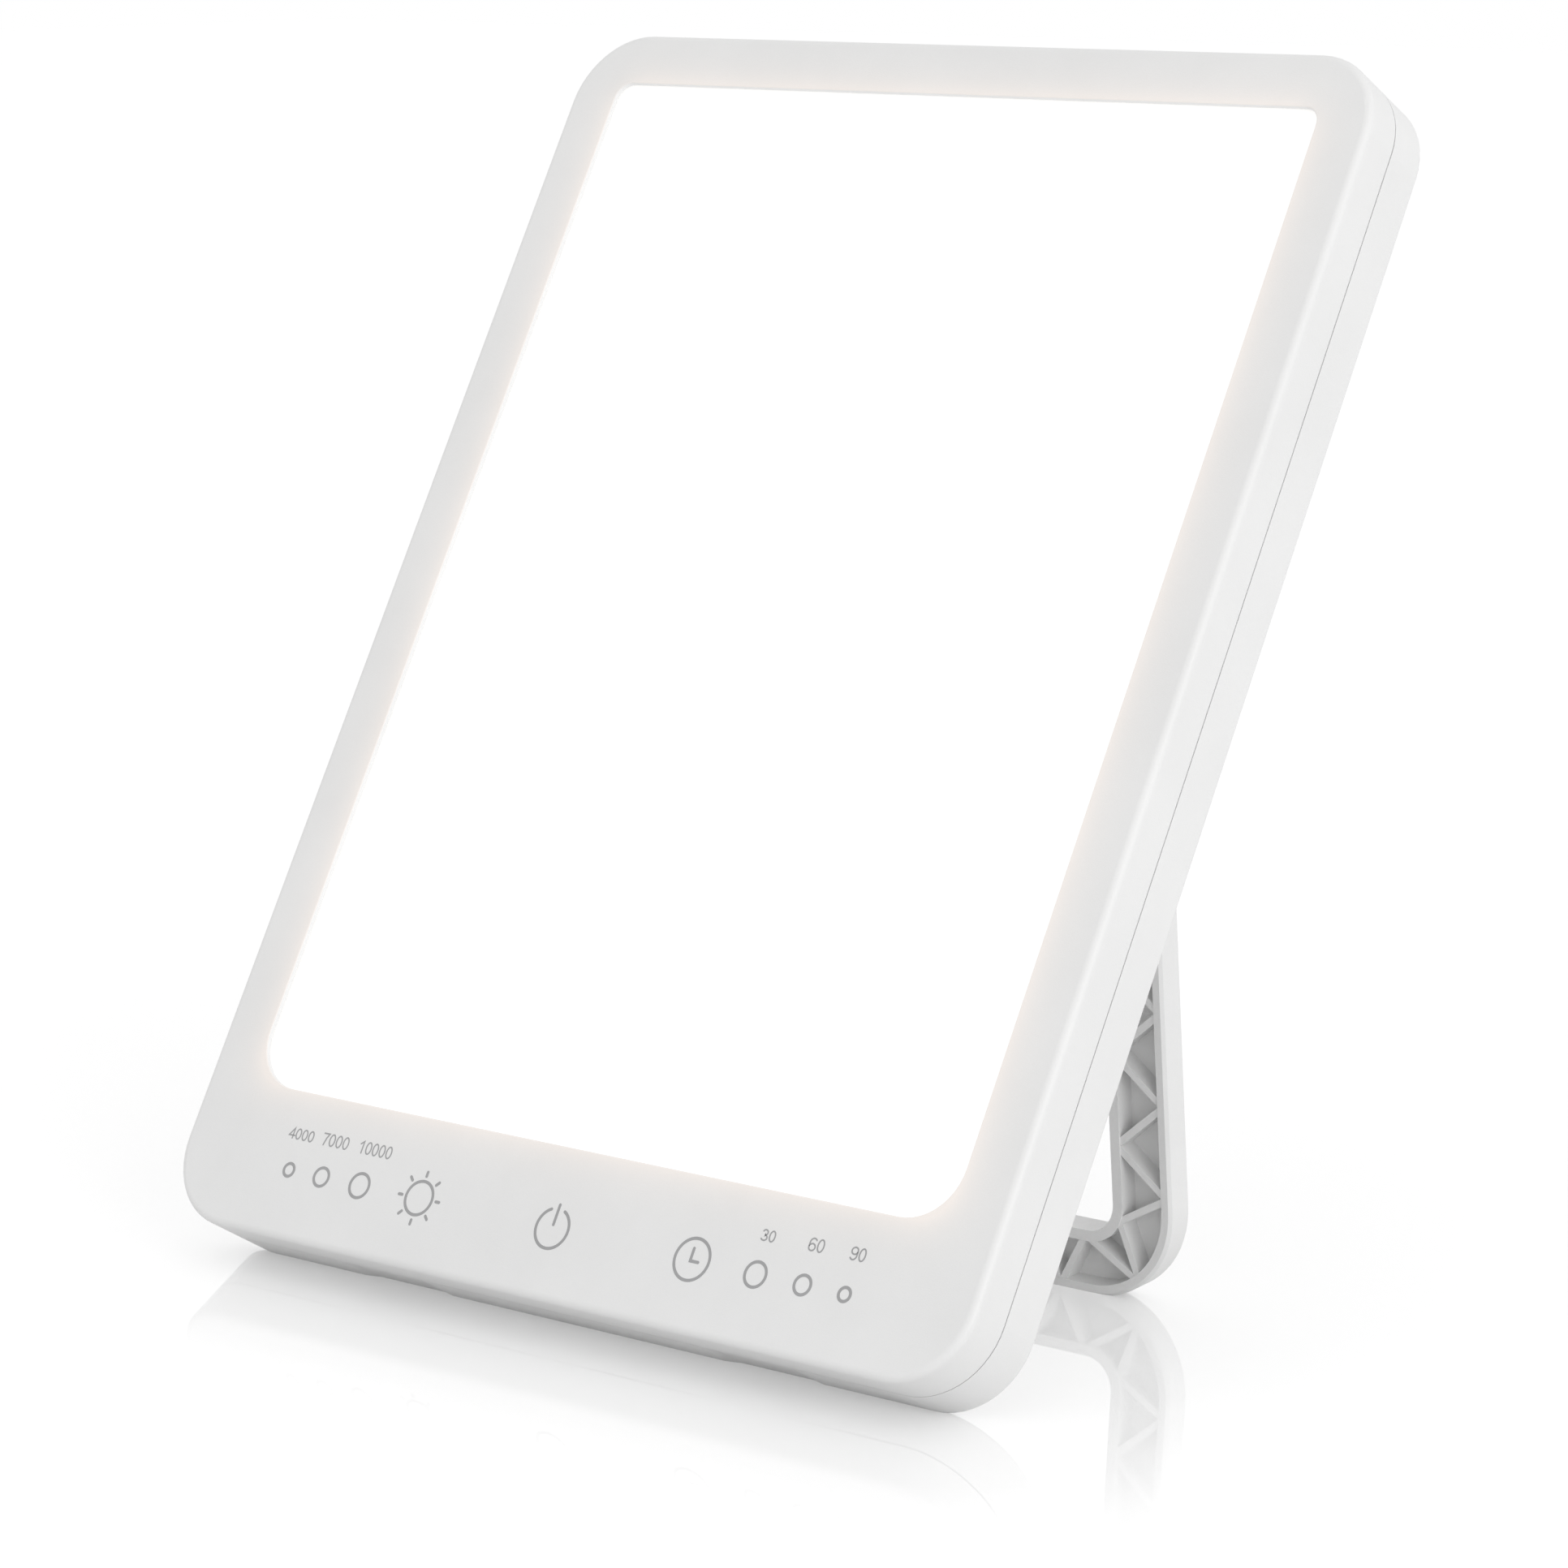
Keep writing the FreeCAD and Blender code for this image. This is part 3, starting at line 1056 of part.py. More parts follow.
def make_stand_frame():
    """U stand: rim, thin rear wall and zig-zag ribs on the side that faces the panel."""
    body = new_body("stand_blank")
    far, near = stand_half, leg_inside
    low = -foot_end
    bar = low + d["foot_rise"]
    sketch = new_sketch(body, "stand_outline")
    outline(sketch, (
        (-far, low, d["stand_corner"]), (far, low, d["stand_corner"]), (far, d["heel_reach"], 0),
        (near, d["heel_reach"], 0), (near, bar, d["stand_inner_corner"]),
        (-near, bar, d["stand_inner_corner"]), (-near, d["heel_reach"], 0), (-far, d["heel_reach"], 0)))
    pad(body, sketch, "stand_pad", d["stand_depth"], middle=True)
    front = d["stand_depth"] / 2

    def outer(edge):
        spot = edge.valueAt((edge.FirstParameter + edge.LastParameter) / 2)
        corner_x = far.number - d["stand_corner"].number
        corner_y = low.number + d["stand_corner"].number
        side = abs(abs(spot.x) - far.number) < 0.01
        arc = abs(spot.x) > corner_x and spot.y < corner_y and edge.Length > 20 and not side
        return side or abs(spot.y - low.number) < 0.01 or arc

    soften(body, "Chamfer", "stand_front_chamfer", d["stand_chamfer"],
           lambda edge: flat_at(edge, front) and outer(edge))
    soften(body, "Fillet", "stand_rear_edge", d["stand_rear_round"],
           lambda edge: flat_at(edge, -front) and outer(edge))
    wall = d["stand_wall"]
    foot = d["rib_wall"] / 2
    sketch = new_sketch(body, "stand_ribbed_side", front)
    outline(sketch, (
        (-(far - wall), low + wall, d["stand_corner"] - wall),
        (far - wall, low + wall, d["stand_corner"] - wall),
        (far - wall, -d["solid_end"], foot), (near + wall, -d["solid_end"], foot),
        (near + wall, bar - wall, d["stand_inner_corner"] + wall),
        (-(near + wall), bar - wall, d["stand_inner_corner"] + wall),
        (-(near + wall), -d["solid_end"], foot), (-(far - wall), -d["solid_end"], foot)))
    pocket(body, sketch, "stand_pocket_cut", d["stand_pocket"])
    sketch = new_sketch(body, "bush_bores", 0.0, "YZ_Plane")
    circle(sketch, zero, zero, d["bush_round"] + d["pin_fit"])
    pocket(body, sketch, "bush_bore_cuts", d["panel_width"], middle=True)

    # Heel: the flat that lands on the channel's floor when the stand is open
    reach = front + d["channel_floor_gap"] - d["stop_gap"]
    flat_y = reach * sine(d["open_angle"])
    flat_z = reach * cosine(d["open_angle"])
    heel = d["heel_reach"]
    end_z = flat_z - (heel - flat_y) * tangent(d["open_angle"])
    sketch = new_sketch(body, "heel_flat", 0.0, "YZ_Plane")
    polygon(sketch, ((d["heel_start"], front), (flat_y, flat_z), (heel, end_z), (heel + spare, end_z),
                     (heel + spare, front + spare), (d["heel_start"], front + spare)))
    back = d["heel_chamfer"]
    polygon(sketch, ((heel - back, -front), (heel, back - front), (heel + spare, back - front),
                     (heel + spare, -front - spare), (heel - back, -front - spare)))
    pocket(body, sketch, "heel_cut", d["panel_width"], middle=True)

    # Foot: its end lies level on the table when the stand is open
    sketch = new_sketch(body, "foot_land", 0.0, "YZ_Plane")
    rise = front * foot_slope
    polygon(sketch, ((-leg_reach - rise, -front), (-leg_reach + rise, front),
                     (-leg_reach + rise, front + spare), (-leg_reach - rise - spare, front + spare),
                     (-leg_reach - rise - spare, -front)))
    pocket(body, sketch, "foot_land_cut", d["panel_width"], middle=True)

    # Zig-zag ribs, each a straight bar between two nodes on facing rims
    outer_line = far - wall / 2
    inner_line = near + wall / 2
    start = low + d["leg_rib_start"]
    pitch = d["leg_rib_pitch"]
    nodes = []
    for index in range(int(d["leg_rib_count"].number) + 1):
        nodes.append((outer_line if index % 2 == 0 else inner_line, start + pitch * index))
    legs = list(zip(nodes, nodes[1:]))
    corner_high = (inner_line, start - d["rib_corner_drop"])
    corner_low_node = (far - d["rib_corner_side"], low + d["rib_corner_rise"])
    bar_top = (near - d["stand_inner_corner"] - d["rib_bar_gap"], bar - wall / 2)
    bar_half = far - d["foot_rib_inset"]
    bar_low = (bar_half, low + wall / 2)
    legs += [(nodes[0], corner_high), (corner_high, corner_low_node), (corner_low_node, bar_top),
             (bar_top, bar_low)]
    ribs = [((side * a[0], a[1]), (side * b[0], b[1])) for side in (-1, 1) for a, b in legs]
    step = bar_half * 2 / d["foot_rib_count"]
    count = int(d["foot_rib_count"].number)
    bars = []
    for index in range(count + 1):
        line = low + wall / 2 if index % 2 == 0 else bar - wall / 2
        bars.append((step * index - bar_half, line))
    ribs += list(zip(bars, bars[1:]))
    shapes = [body]
    floor = front - d["stand_pocket"]
    for index, (a, b) in enumerate(ribs, start=1):
        rib = document.addObject("Part::Box", f"stand_rib_{index}")
        run, rise = b[0] - a[0], b[1] - a[1]
        length = root(run * run + rise * rise)
        half = d["rib_wall"] / 2
        turn = math.degrees(math.atan2(rise.number, run.number))
        rib.Placement = FreeCAD.Placement(FreeCAD.Vector(0, 0, 0),
                                          FreeCAD.Rotation(FreeCAD.Vector(0, 0, 1), turn))
        bind(rib, Length=length, Width=d["rib_wall"], Height=d["stand_pocket"] - d["rib_drop"],
             Placement__Base__x=a[0] + half * rise / length,
             Placement__Base__y=a[1] - half * run / length, Placement__Base__z=floor,
             Placement__Rotation__Angle=Size(f"atan2({rise.formula}; {run.formula})", turn))
        shapes.append(rib)
    frame = document.addObject("Part::MultiFuse", "stand_frame")
    frame.Shapes = shapes
    frame.Refine = True
    finish_piece(frame, "stand_frame", with_stand=True)


def tube(name, near, length, hole, radius, with_stand):
    """A round sleeve along the hinge axis."""
    body = new_body(name)
    sketch = new_sketch(body, f"{name}_ring", near, "YZ_Plane")
    line, level = (zero, zero) if with_stand else (d["hinge_line"], hinge_level)
    circle(sketch, line, level, radius)
    if amount(hole):
        circle(sketch, line, level, hole)
    pad(body, sketch, f"{name}_wall", length)
    finish_piece(body, name, with_stand=with_stand)


def make_hinge():
    """Pins fixed in the shell, bushes in the stand, washers between, keepers inside."""
    gap = d["channel_gap"]
    lug_inside = leg_inside - gap - d["lug_width"]
    pin_length = d["leg_width"] + (gap + d["lug_width"]) * 2 - d["lug_end_wall"] - d["hole_gap"]
    bore = d["pin_round"] + d["run_fit"]
    pin_low = lug_inside
    for side, name in ((-1, "left"), (1, "right")):
        start = pin_low if side > 0 else -(pin_low + pin_length)
        tube(f"hinge_pin_{name}", start, pin_length, 0, d["pin_round"], False)
        start = leg_inside if side > 0 else -stand_half
        tube(f"hinge_bush_{name}", start, d["leg_width"], bore, d["bush_round"], True)
    body = new_body("hinge_washers")
    play = (gap - d["washer_wall"]) / 2
    for side in (-1, 1):
        for number, face in enumerate((leg_inside - gap + play, stand_half + play)):
            start = face if side > 0 else -(face + d["washer_wall"])
            name = f"washer_{'left' if side < 0 else 'right'}_{number + 1}"
            sketch = new_sketch(body, f"{name}_ring", start, "YZ_Plane")
            circle(sketch, d["hinge_line"], hinge_level, d["washer_round"])
            circle(sketch, d["hinge_line"], hinge_level, bore)
            pad(body, sketch, f"{name}_wall", d["washer_wall"])
    finish_piece(body, "hinge_washers")
    keeper_low = d["hinge_line"] - d["lug_below"] + d["keeper_margin"]
    keeper_high = d["hinge_line"] + d["pin_round"] + d["keeper_wall"]
    top = channel_roof - d["keeper_edge"]
    for side, name in ((-1, "left"), (1, "right")):
        body = new_body(f"hinge_keeper_{name}")
        sketch = new_sketch(body, f"keeper_outline_{name}", side * lug_inside, "YZ_Plane")
        rectangle(sketch, keeper_low, keeper_high, d["rear_wall"], top)
        circle(sketch, keeper_screw_line, keeper_screw_level, small_hole)
        pad(body, sketch, f"keeper_plate_{name}", d["keeper_wall"], reverse=side > 0)
        finish_piece(body, f"hinge_keeper_{name}")
    body = new_body("keeper_screws")
    for side, name in ((-1, "left"), (1, "right")):
        seat = side * (lug_inside - d["keeper_wall"])
        for part, radius, reach, inward in (("shank", d["small_core"], d["small_reach"], False),
                                            ("head", d["small_head"], d["small_rise"], True)):
            sketch = new_sketch(body, f"keeper_{part}_{name}", seat, "YZ_Plane")
            circle(sketch, keeper_screw_line, keeper_screw_level, radius)
            pad(body, sketch, f"keeper_{part}_pad_{name}", reach, reverse=(side > 0) == inward)
    finish_piece(body, "keeper_screws")


def check_document():
    """Stop before writing if any object has failed or any piece is not a sound solid."""
    document.recompute()
    for item in document.Objects:
        if "Invalid" in item.State or "Error" in item.State:
            raise RuntimeError(f"{item.Name} failed: {item.State}")
    for item in pieces:
        shape = item.Shape
        if shape.isNull() or not shape.isValid() or not shape.Solids:
            raise RuntimeError(f"{item.Label} has no sound solid")


def write_pieces():
    os.makedirs("parts", exist_ok=True)
    for item in pieces:
        item.Shape.exportStep(f"parts/{item.Label}.step")
        box = item.Shape.BoundBox
        print(f"{item.Label}: {len(item.Shape.Solids)} solids, {item.Shape.Volume:.1f} mm3, "
              f"x {box.XMin:.2f} {box.XMax:.2f} y {box.YMin:.2f} {box.YMax:.2f} "
              f"z {box.ZMin:.2f} {box.ZMax:.2f}")


make_front_housing()
make_rear_housing()
make_optical_stack()
make_back_plate()
make_led_rows()
make_controls()
make_driver()
make_inlet()
make_leads()
make_screws()
make_stand_frame()
make_hinge()
check_document()
write_pieces()
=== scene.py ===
# %% [markdown]
# # A slim light panel on a folding stand
# This lesson dresses a tabletop light panel: a thin white box with a glowing opal window, three
# groups of printed touch symbols below the window and a ribbed U stand behind it. The shapes of
# all the moulded and turned parts come in ready made as a frame, in metres, standing on the table.
# What is left for Blender is what an engineer's model doesn't have: plastics, metals, print, light.

# %% Load the frame
import math

import bmesh
import bpy
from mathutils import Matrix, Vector


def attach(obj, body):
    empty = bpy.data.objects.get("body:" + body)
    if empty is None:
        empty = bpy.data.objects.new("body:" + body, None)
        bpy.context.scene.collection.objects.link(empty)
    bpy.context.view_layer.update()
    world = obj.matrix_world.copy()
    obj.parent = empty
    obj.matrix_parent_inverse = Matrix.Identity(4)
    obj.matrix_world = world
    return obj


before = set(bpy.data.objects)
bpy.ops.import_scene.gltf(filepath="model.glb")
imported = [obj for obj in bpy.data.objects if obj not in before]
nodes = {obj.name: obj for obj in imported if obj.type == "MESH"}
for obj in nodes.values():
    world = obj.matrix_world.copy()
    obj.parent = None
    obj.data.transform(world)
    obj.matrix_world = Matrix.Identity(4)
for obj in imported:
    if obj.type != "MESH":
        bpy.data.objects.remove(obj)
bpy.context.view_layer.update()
print("pieces in the frame:", len(nodes))

# %% [markdown]
# ## The panel's own directions
# The panel leans back, so nothing on its face is level or upright. It could be dressed in world
# coordinates, with sines and cosines in every line. It is easier to read if the lean is written
# once: a point is then so far across from the middle, so far up the face and so far in front of
# the rear face, all in millimetres.

# %% Panel coordinates
MM = 0.001
LEAN = math.radians(30)
LAND_RISE = 0.5
FACE_LEVEL = 20.0
ACROSS = Vector((1, 0, 0))
UP_FACE = Vector((0, math.sin(LEAN), math.cos(LEAN)))
OUT_FACE = Vector((0, -math.cos(LEAN), math.sin(LEAN)))
LOW_CORNER = Vector((0, LAND_RISE / math.tan(LEAN) / 2 - LAND_RISE * math.tan(LEAN) / 2, -LAND_RISE))


def on_panel(x, v, level=FACE_LEVEL):
    """World point, in metres, of a place on the panel given in its own millimetres."""
    return (LOW_CORNER + ACROSS * x + UP_FACE * v + OUT_FACE * level) * MM


print("middle of the face's lower edge, m:", tuple(round(c, 4) for c in on_panel(0, 0)))

# %% [markdown]
# ## The camera
# The picture is a product shot from the front right and a little above, taken with a long lens, so
# the panel's sides converge only slightly. The place and the direction are those at which the
# panel's straight edges fall where they do in the picture. A shift isn't needed, because the
# lens looks straight at the middle of the frame.

# %% Camera
CAMERA_PLACE = Vector((0.64240, -0.70972, 0.27403))
CAMERA_LOOK = Vector((-0.63203, 0.75513, -0.17410))
LENS = 119.47
SENSOR = 36.0

camera_data = bpy.data.cameras.new("camera")
camera_data.lens = LENS
camera_data.sensor_width = SENSOR
camera_data.clip_start = 0.01
camera_data.clip_end = 50.0
camera = bpy.data.objects.new("camera", camera_data)
camera.location = CAMERA_PLACE
camera.rotation_mode = "QUATERNION"
camera.rotation_quaternion = CAMERA_LOOK.to_track_quat("-Z", "Y")
bpy.context.scene.collection.objects.link(camera)
bpy.context.scene.camera = camera
print("distance to the panel, m:", round((on_panel(0, 130) - CAMERA_PLACE).length, 3))

# %% [markdown]
# ## Small tools for materials
# A material is a tree of nodes. Written out in full, each node takes three or four lines and the
# idea gets lost. Two helpers keep it short: one adds a node and sets its inputs by name, the other
# starts a material and gives back its tree and its surface shader. Whatever is the same all over
# a surface is set on the shader itself, and only what varies is wired to it.

# %% Node helpers
def add(tree, kind, wires=(), **values):
    """Adds a shader node. Values set its inputs by name, wires join other sockets to its inputs."""
    node = tree.nodes.new("ShaderNode" + kind)
    for name, value in values.items():
        if hasattr(node, name):
            setattr(node, name, value)
        else:
            node.inputs[name.replace("_", " ")].default_value = value
    for target, source in dict(wires).items():
        tree.links.new(source, node.inputs[target])
    return node


def new_material(name, colour, roughness, **shader_values):
    """A material with one Principled shader, whose sockets take the plain values."""
    material = bpy.data.materials.new(name)
    material.use_nodes = True
    tree = material.node_tree
    shader = tree.nodes["Principled BSDF"]
    shader.inputs["Base Color"].default_value = (*colour, 1)
    shader.inputs["Roughness"].default_value = roughness
    for key, value in shader_values.items():
        shader.inputs[key.replace("_", " ")].default_value = value
    material.diffuse_color = (*colour, 1)
    return material, tree, shader


def new_group(name, inputs, outputs):
    """A shader node group with named sockets. Inputs are (name, kind, default), outputs (name, kind)."""
    group = bpy.data.node_groups.new(name, "ShaderNodeTree")
    for label, kind, default in inputs:
        socket = group.interface.new_socket(label, in_out="INPUT", socket_type="NodeSocket" + kind)
        socket.default_value = default
    for label, kind in outputs:
        group.interface.new_socket(label, in_out="OUTPUT", socket_type="NodeSocket" + kind)
    source = group.nodes.new("NodeGroupInput")
    result = group.nodes.new("NodeGroupOutput")
    return group, source.outputs, result.inputs


def place_group(tree, group, **values):
    """Puts a group into a material's tree and sets its inputs by name."""
    node = tree.nodes.new("ShaderNodeGroup")
    node.node_tree = group
    for name, value in values.items():
        node.inputs[name.replace("_", " ")].default_value = value
    return node.outputs


print("node helpers are ready")

# %% [markdown]
# ## Moulded plastic
# The shells are injection moulded. Their steel mould is spark eroded, which leaves a fine, even
# grain of about a quarter of a millimetre, and thick and thin walls cool at different rates, which
# leaves a very slight cloudiness in tone and gloss. A picture of a grain could be projected on the
# shells, but it would stretch on their rounded edges. A three-dimensional noise has the same size
# everywhere, so one group makes the grain, the cloudiness and the gloss for every plastic here.

# %% Moulded grain group
group, given, out = new_group(
    "moulded grain",
    [("Colour", "Color", (0.8, 0.8, 0.8, 1)), ("Tone Change", "Float", 0.02),
     ("Grains per Metre", "Float", 4000.0), ("Roughness", "Float", 0.45),
     ("Gloss Change", "Float", 0.06)],
    [("Colour", "Color"), ("Roughness", "Float"), ("Height", "Float")])
place = add(group, "TexCoord").outputs["Object"]
grain = add(group, "TexNoise", {"Vector": place, "Scale": given["Grains per Metre"]},
            Detail=2.0, Roughness=0.6)
pits = add(group, "TexVoronoi", {"Vector": place, "Scale": given["Grains per Metre"]})
clouds = add(group, "TexNoise", {"Vector": place}, Scale=38.0, Detail=3.0, Roughness=0.55)
swing = add(group, "MapRange", {0: clouds.outputs[0]}, From_Min=0.3, From_Max=0.7, To_Min=-1.0)
speck = add(group, "MapRange", {0: grain.outputs[0]}, From_Min=0.3, From_Max=0.7, To_Min=-0.5,
            To_Max=0.5)
both = add(group, "Math", {0: swing.outputs[0], 1: speck.outputs[0]}, operation="ADD")
tone = add(group, "Math", {0: both.outputs[0], 1: given["Tone Change"]}, operation="MULTIPLY_ADD")
tone.inputs[2].default_value = 1.0
tinted = add(group, "VectorMath", {0: given["Colour"], "Scale": tone.outputs[0]}, operation="SCALE")
gloss = add(group, "Math", {0: swing.outputs[0], 1: given["Gloss Change"], 2: given["Roughness"]},
            operation="MULTIPLY_ADD")
bumps = add(group, "Math", {0: grain.outputs[0], 1: pits.outputs["Distance"]}, operation="ADD")
group.links.new(tinted.outputs[0], out["Colour"])
group.links.new(gloss.outputs[0], out["Roughness"])
group.links.new(bumps.outputs[0], out["Height"])
MOULDED_GRAIN = group
print("moulded grain has", len(group.nodes), "nodes")

# %% [markdown]
# ## Handling marks
# A thing that is folded, carried and tapped isn't spotless: skin leaves faint smears that are
# glossier than the grain, and dust settles where a surface looks up. Both are masks, not colours,
# so the same group serves white and black plastics and the metals too.

# %% Handling marks group
group, given, out = new_group(
    "handling marks",
    [("Smear Amount", "Float", 0.5), ("Dust Amount", "Float", 0.5)],
    [("Smears", "Float"), ("Dust", "Float")])
place = add(group, "TexCoord").outputs["Object"]
streak = add(group, "Mapping", {"Vector": place}, Scale=(60.0, 60.0, 24.0), Rotation=(0.0, 0.5, 0.4))
smear = add(group, "TexNoise", {"Vector": streak.outputs[0]}, Scale=1.0, Detail=4.0, Distortion=0.8)
smear_cut = add(group, "MapRange", {0: smear.outputs[0]}, From_Min=0.52, From_Max=0.7)
smears = add(group, "Math", {0: smear_cut.outputs[0], 1: given["Smear Amount"]}, operation="MULTIPLY")
facing = add(group, "SeparateXYZ", {0: add(group, "NewGeometry").outputs["Normal"]})
looks_up = add(group, "MapRange", {0: facing.outputs["Z"]}, From_Min=0.55, From_Max=1.0)
dust_spots = add(group, "TexNoise", {"Vector": place}, Scale=900.0, Detail=5.0, Roughness=0.7)
dust_cut = add(group, "MapRange", {0: dust_spots.outputs[0]}, From_Min=0.45, From_Max=0.75)
dust_up = add(group, "Math", {0: looks_up.outputs[0], 1: dust_cut.outputs[0]}, operation="MULTIPLY")
dust = add(group, "Math", {0: dust_up.outputs[0], 1: given["Dust Amount"]}, operation="MULTIPLY")
group.links.new(smears.outputs[0], out["Smears"])
group.links.new(dust.outputs[0], out["Dust"])
HANDLING_MARKS = group
print("handling marks has", len(group.nodes), "nodes")

# %% [markdown]
# ## A plastic from the two groups
# Every plastic on the lamp is the same recipe with other numbers: the grain gives colour, gloss and
# height, smears lower the roughness, and dust pulls the tone a little towards a warm grey. One
# function mixes them, so a new plastic is one line.

# %% Plastic recipe
DUST_COLOUR = (0.62, 0.60, 0.57, 1)


def plastic(name, colour, roughness, grains=4000.0, depth=0.02, tone=0.02, smears=0.4, dust=0.3,
            **shader_values):
    """Moulded plastic with grain, faint smears and dust. Depth is the grain's height in mm."""
    material, tree, shader = new_material(name, colour, roughness, **shader_values)
    skin = place_group(tree, MOULDED_GRAIN, Colour=(*colour, 1), Tone_Change=tone,
                       Grains_per_Metre=grains, Roughness=roughness)
    marks = place_group(tree, HANDLING_MARKS, Smear_Amount=smears, Dust_Amount=dust)
    dusty = add(tree, "Mix", data_type="RGBA")
    tree.links.new(marks["Dust"], dusty.inputs["Factor"])
    dusty.inputs[7].default_value = DUST_COLOUR
    tree.links.new(skin["Colour"], dusty.inputs[6])
    rubbed = add(tree, "Math", {0: marks["Smears"], 2: skin["Roughness"]}, operation="MULTIPLY_ADD")
    rubbed.inputs[1].default_value = -0.16
    bump = add(tree, "Bump", {"Height": skin["Height"]}, Strength=0.35, Distance=depth * MM)
    tree.links.new(dusty.outputs[2], shader.inputs["Base Color"])
    tree.links.new(rubbed.outputs[0], shader.inputs["Roughness"])
    tree.links.new(bump.outputs[0], shader.inputs["Normal"])
    return material, tree, shader


SHELL_WHITE = (0.81, 0.81, 0.808)
STAND_WHITE = (0.80, 0.80, 0.798)
shell_plastic = plastic("shell plastic", SHELL_WHITE, 0.46, dust=0.1)[0]
stand_plastic = plastic("stand plastic", STAND_WHITE, 0.5, grains=3200.0, depth=0.03, dust=0.15)[0]
black_plastic = plastic("black plastic", (0.018, 0.018, 0.02), 0.42, smears=0.2, dust=0.4)[0]
nylon = plastic("natural nylon", (0.66, 0.64, 0.57), 0.38, grains=2500.0, depth=0.01, tone=0.05,
                Subsurface_Weight=0.15, Subsurface_Scale=0.002)[0]
print("plastics:", shell_plastic.name, stand_plastic.name, black_plastic.name, nylon.name)

# %% [markdown]
# ## The glow round the window
# Light leaks from the diffuser into the thin edge of the bezel, which glows with a faint warm rim
# that is gone a centimetre away. Real scattering would do it, but it is noisy and slow in such a
# thin wall. So the rim is painted light: an emission that depends only on how far a point is from
# the window, worked out from that distance. The window is a rectangle, and the distance to a rectangle
# is simple arithmetic.

# %% Window glow group
WINDOW_HALF = 88.0
WINDOW_LOW = 29.7
WINDOW_HIGH = 253.5
WINDOW_CORNER = 8.0
GLOW_REACH = 3.2

group, given, out = new_group(
    "window glow",
    [("Near Colour", "Color", (1.0, 0.9, 0.8, 1)), ("Strength", "Float", 0.1),
     ("Reach", "Float", GLOW_REACH * MM)],
    [("Colour", "Color")])
place = add(group, "TexCoord").outputs["Object"]
middle = on_panel(0, (WINDOW_LOW + WINDOW_HIGH) / 2)
from_middle = add(group, "VectorMath", {0: place}, operation="SUBTRACT")
from_middle.inputs[1].default_value = middle
half_sides = (WINDOW_HALF - WINDOW_CORNER, (WINDOW_HIGH - WINDOW_LOW) / 2 - WINDOW_CORNER)
beyond = []
for axis, half in zip((ACROSS, UP_FACE), half_sides):
    along = add(group, "VectorMath", {0: from_middle.outputs[0]}, operation="DOT_PRODUCT")
    along.inputs[1].default_value = axis
    size = add(group, "Math", {0: along.outputs["Value"]}, operation="ABSOLUTE")
    excess = add(group, "Math", {0: size.outputs[0]}, operation="SUBTRACT")
    excess.inputs[1].default_value = half * MM
    beyond.append(add(group, "Math", {0: excess.outputs[0]}, operation="MAXIMUM"))
    beyond[-1].inputs[1].default_value = 0.0
corner = add(group, "CombineXYZ", {0: beyond[0].outputs[0], 1: beyond[1].outputs[0]})
far = add(group, "VectorMath", {0: corner.outputs[0]}, operation="LENGTH")
gap = add(group, "Math", {0: far.outputs["Value"]}, operation="SUBTRACT")
gap.inputs[1].default_value = WINDOW_CORNER * MM
inside = add(group, "Math", {0: gap.outputs[0]}, operation="MAXIMUM")
inside.inputs[1].default_value = 0.0
ratio = add(group, "Math", {0: inside.outputs[0], 1: given["Reach"]}, operation="DIVIDE")
falling = add(group, "Math", {0: ratio.outputs[0]}, operation="MULTIPLY")
falling.inputs[1].default_value = -1.0
fade = add(group, "Math", {0: falling.outputs[0]}, operation="EXPONENT")
front = add(group, "VectorMath", {0: add(group, "NewGeometry").outputs["Normal"]},
            operation="DOT_PRODUCT")
front.inputs[1].default_value = OUT_FACE
faces_out = add(group, "MapRange", {0: front.outputs["Value"]}, From_Min=0.3, From_Max=0.9)
lit = add(group, "Math", {0: fade.outputs[0], 1: faces_out.outputs[0]}, operation="MULTIPLY")
level = add(group, "Math", {0: lit.outputs[0], 1: given["Strength"]}, operation="MULTIPLY")
glow = add(group, "VectorMath", {0: given["Near Colour"], "Scale": level.outputs[0]},
           operation="SCALE")
group.links.new(glow.outputs[0], out["Colour"])
WINDOW_GLOW = group
print("window glow has", len(group.nodes), "nodes")

# %% [markdown]
# ## The bezel's plastic
# The front shell is the same plastic as the rear one, with the glow painted on as emission. The glow is
# only a few percent of the window's light, so it tints the edge and lights nothing else.

# %% Bezel plastic
bezel_plastic, bezel_tree, bezel_shader = plastic("bezel plastic", SHELL_WHITE, 0.46, dust=0.1)
# painted light: a warm emission glow on the bezel, strongest at the window's edge and fading outwards
painted_glow = place_group(bezel_tree, WINDOW_GLOW, Near_Colour=(1.0, 0.62, 0.36, 1), Strength=0.14)
bezel_tree.links.new(painted_glow["Colour"], bezel_shader.inputs["Emission Color"])
bezel_shader.inputs["Emission Strength"].default_value = 1.0
print("bezel plastic has", len(bezel_tree.nodes), "nodes")

# %% [markdown]
# ## The opal window
# The diffuser is a sheet of opal acrylic, satin on the outside, lit from behind by the light guide.
# It could be lit for real by lamps inside the box, but the light guide's printed dots make the
# sheet even on purpose, so an emissive surface is nearer to the truth. A large, soft noise lets its
# tone drift by a hair, because no such sheet is quite even.

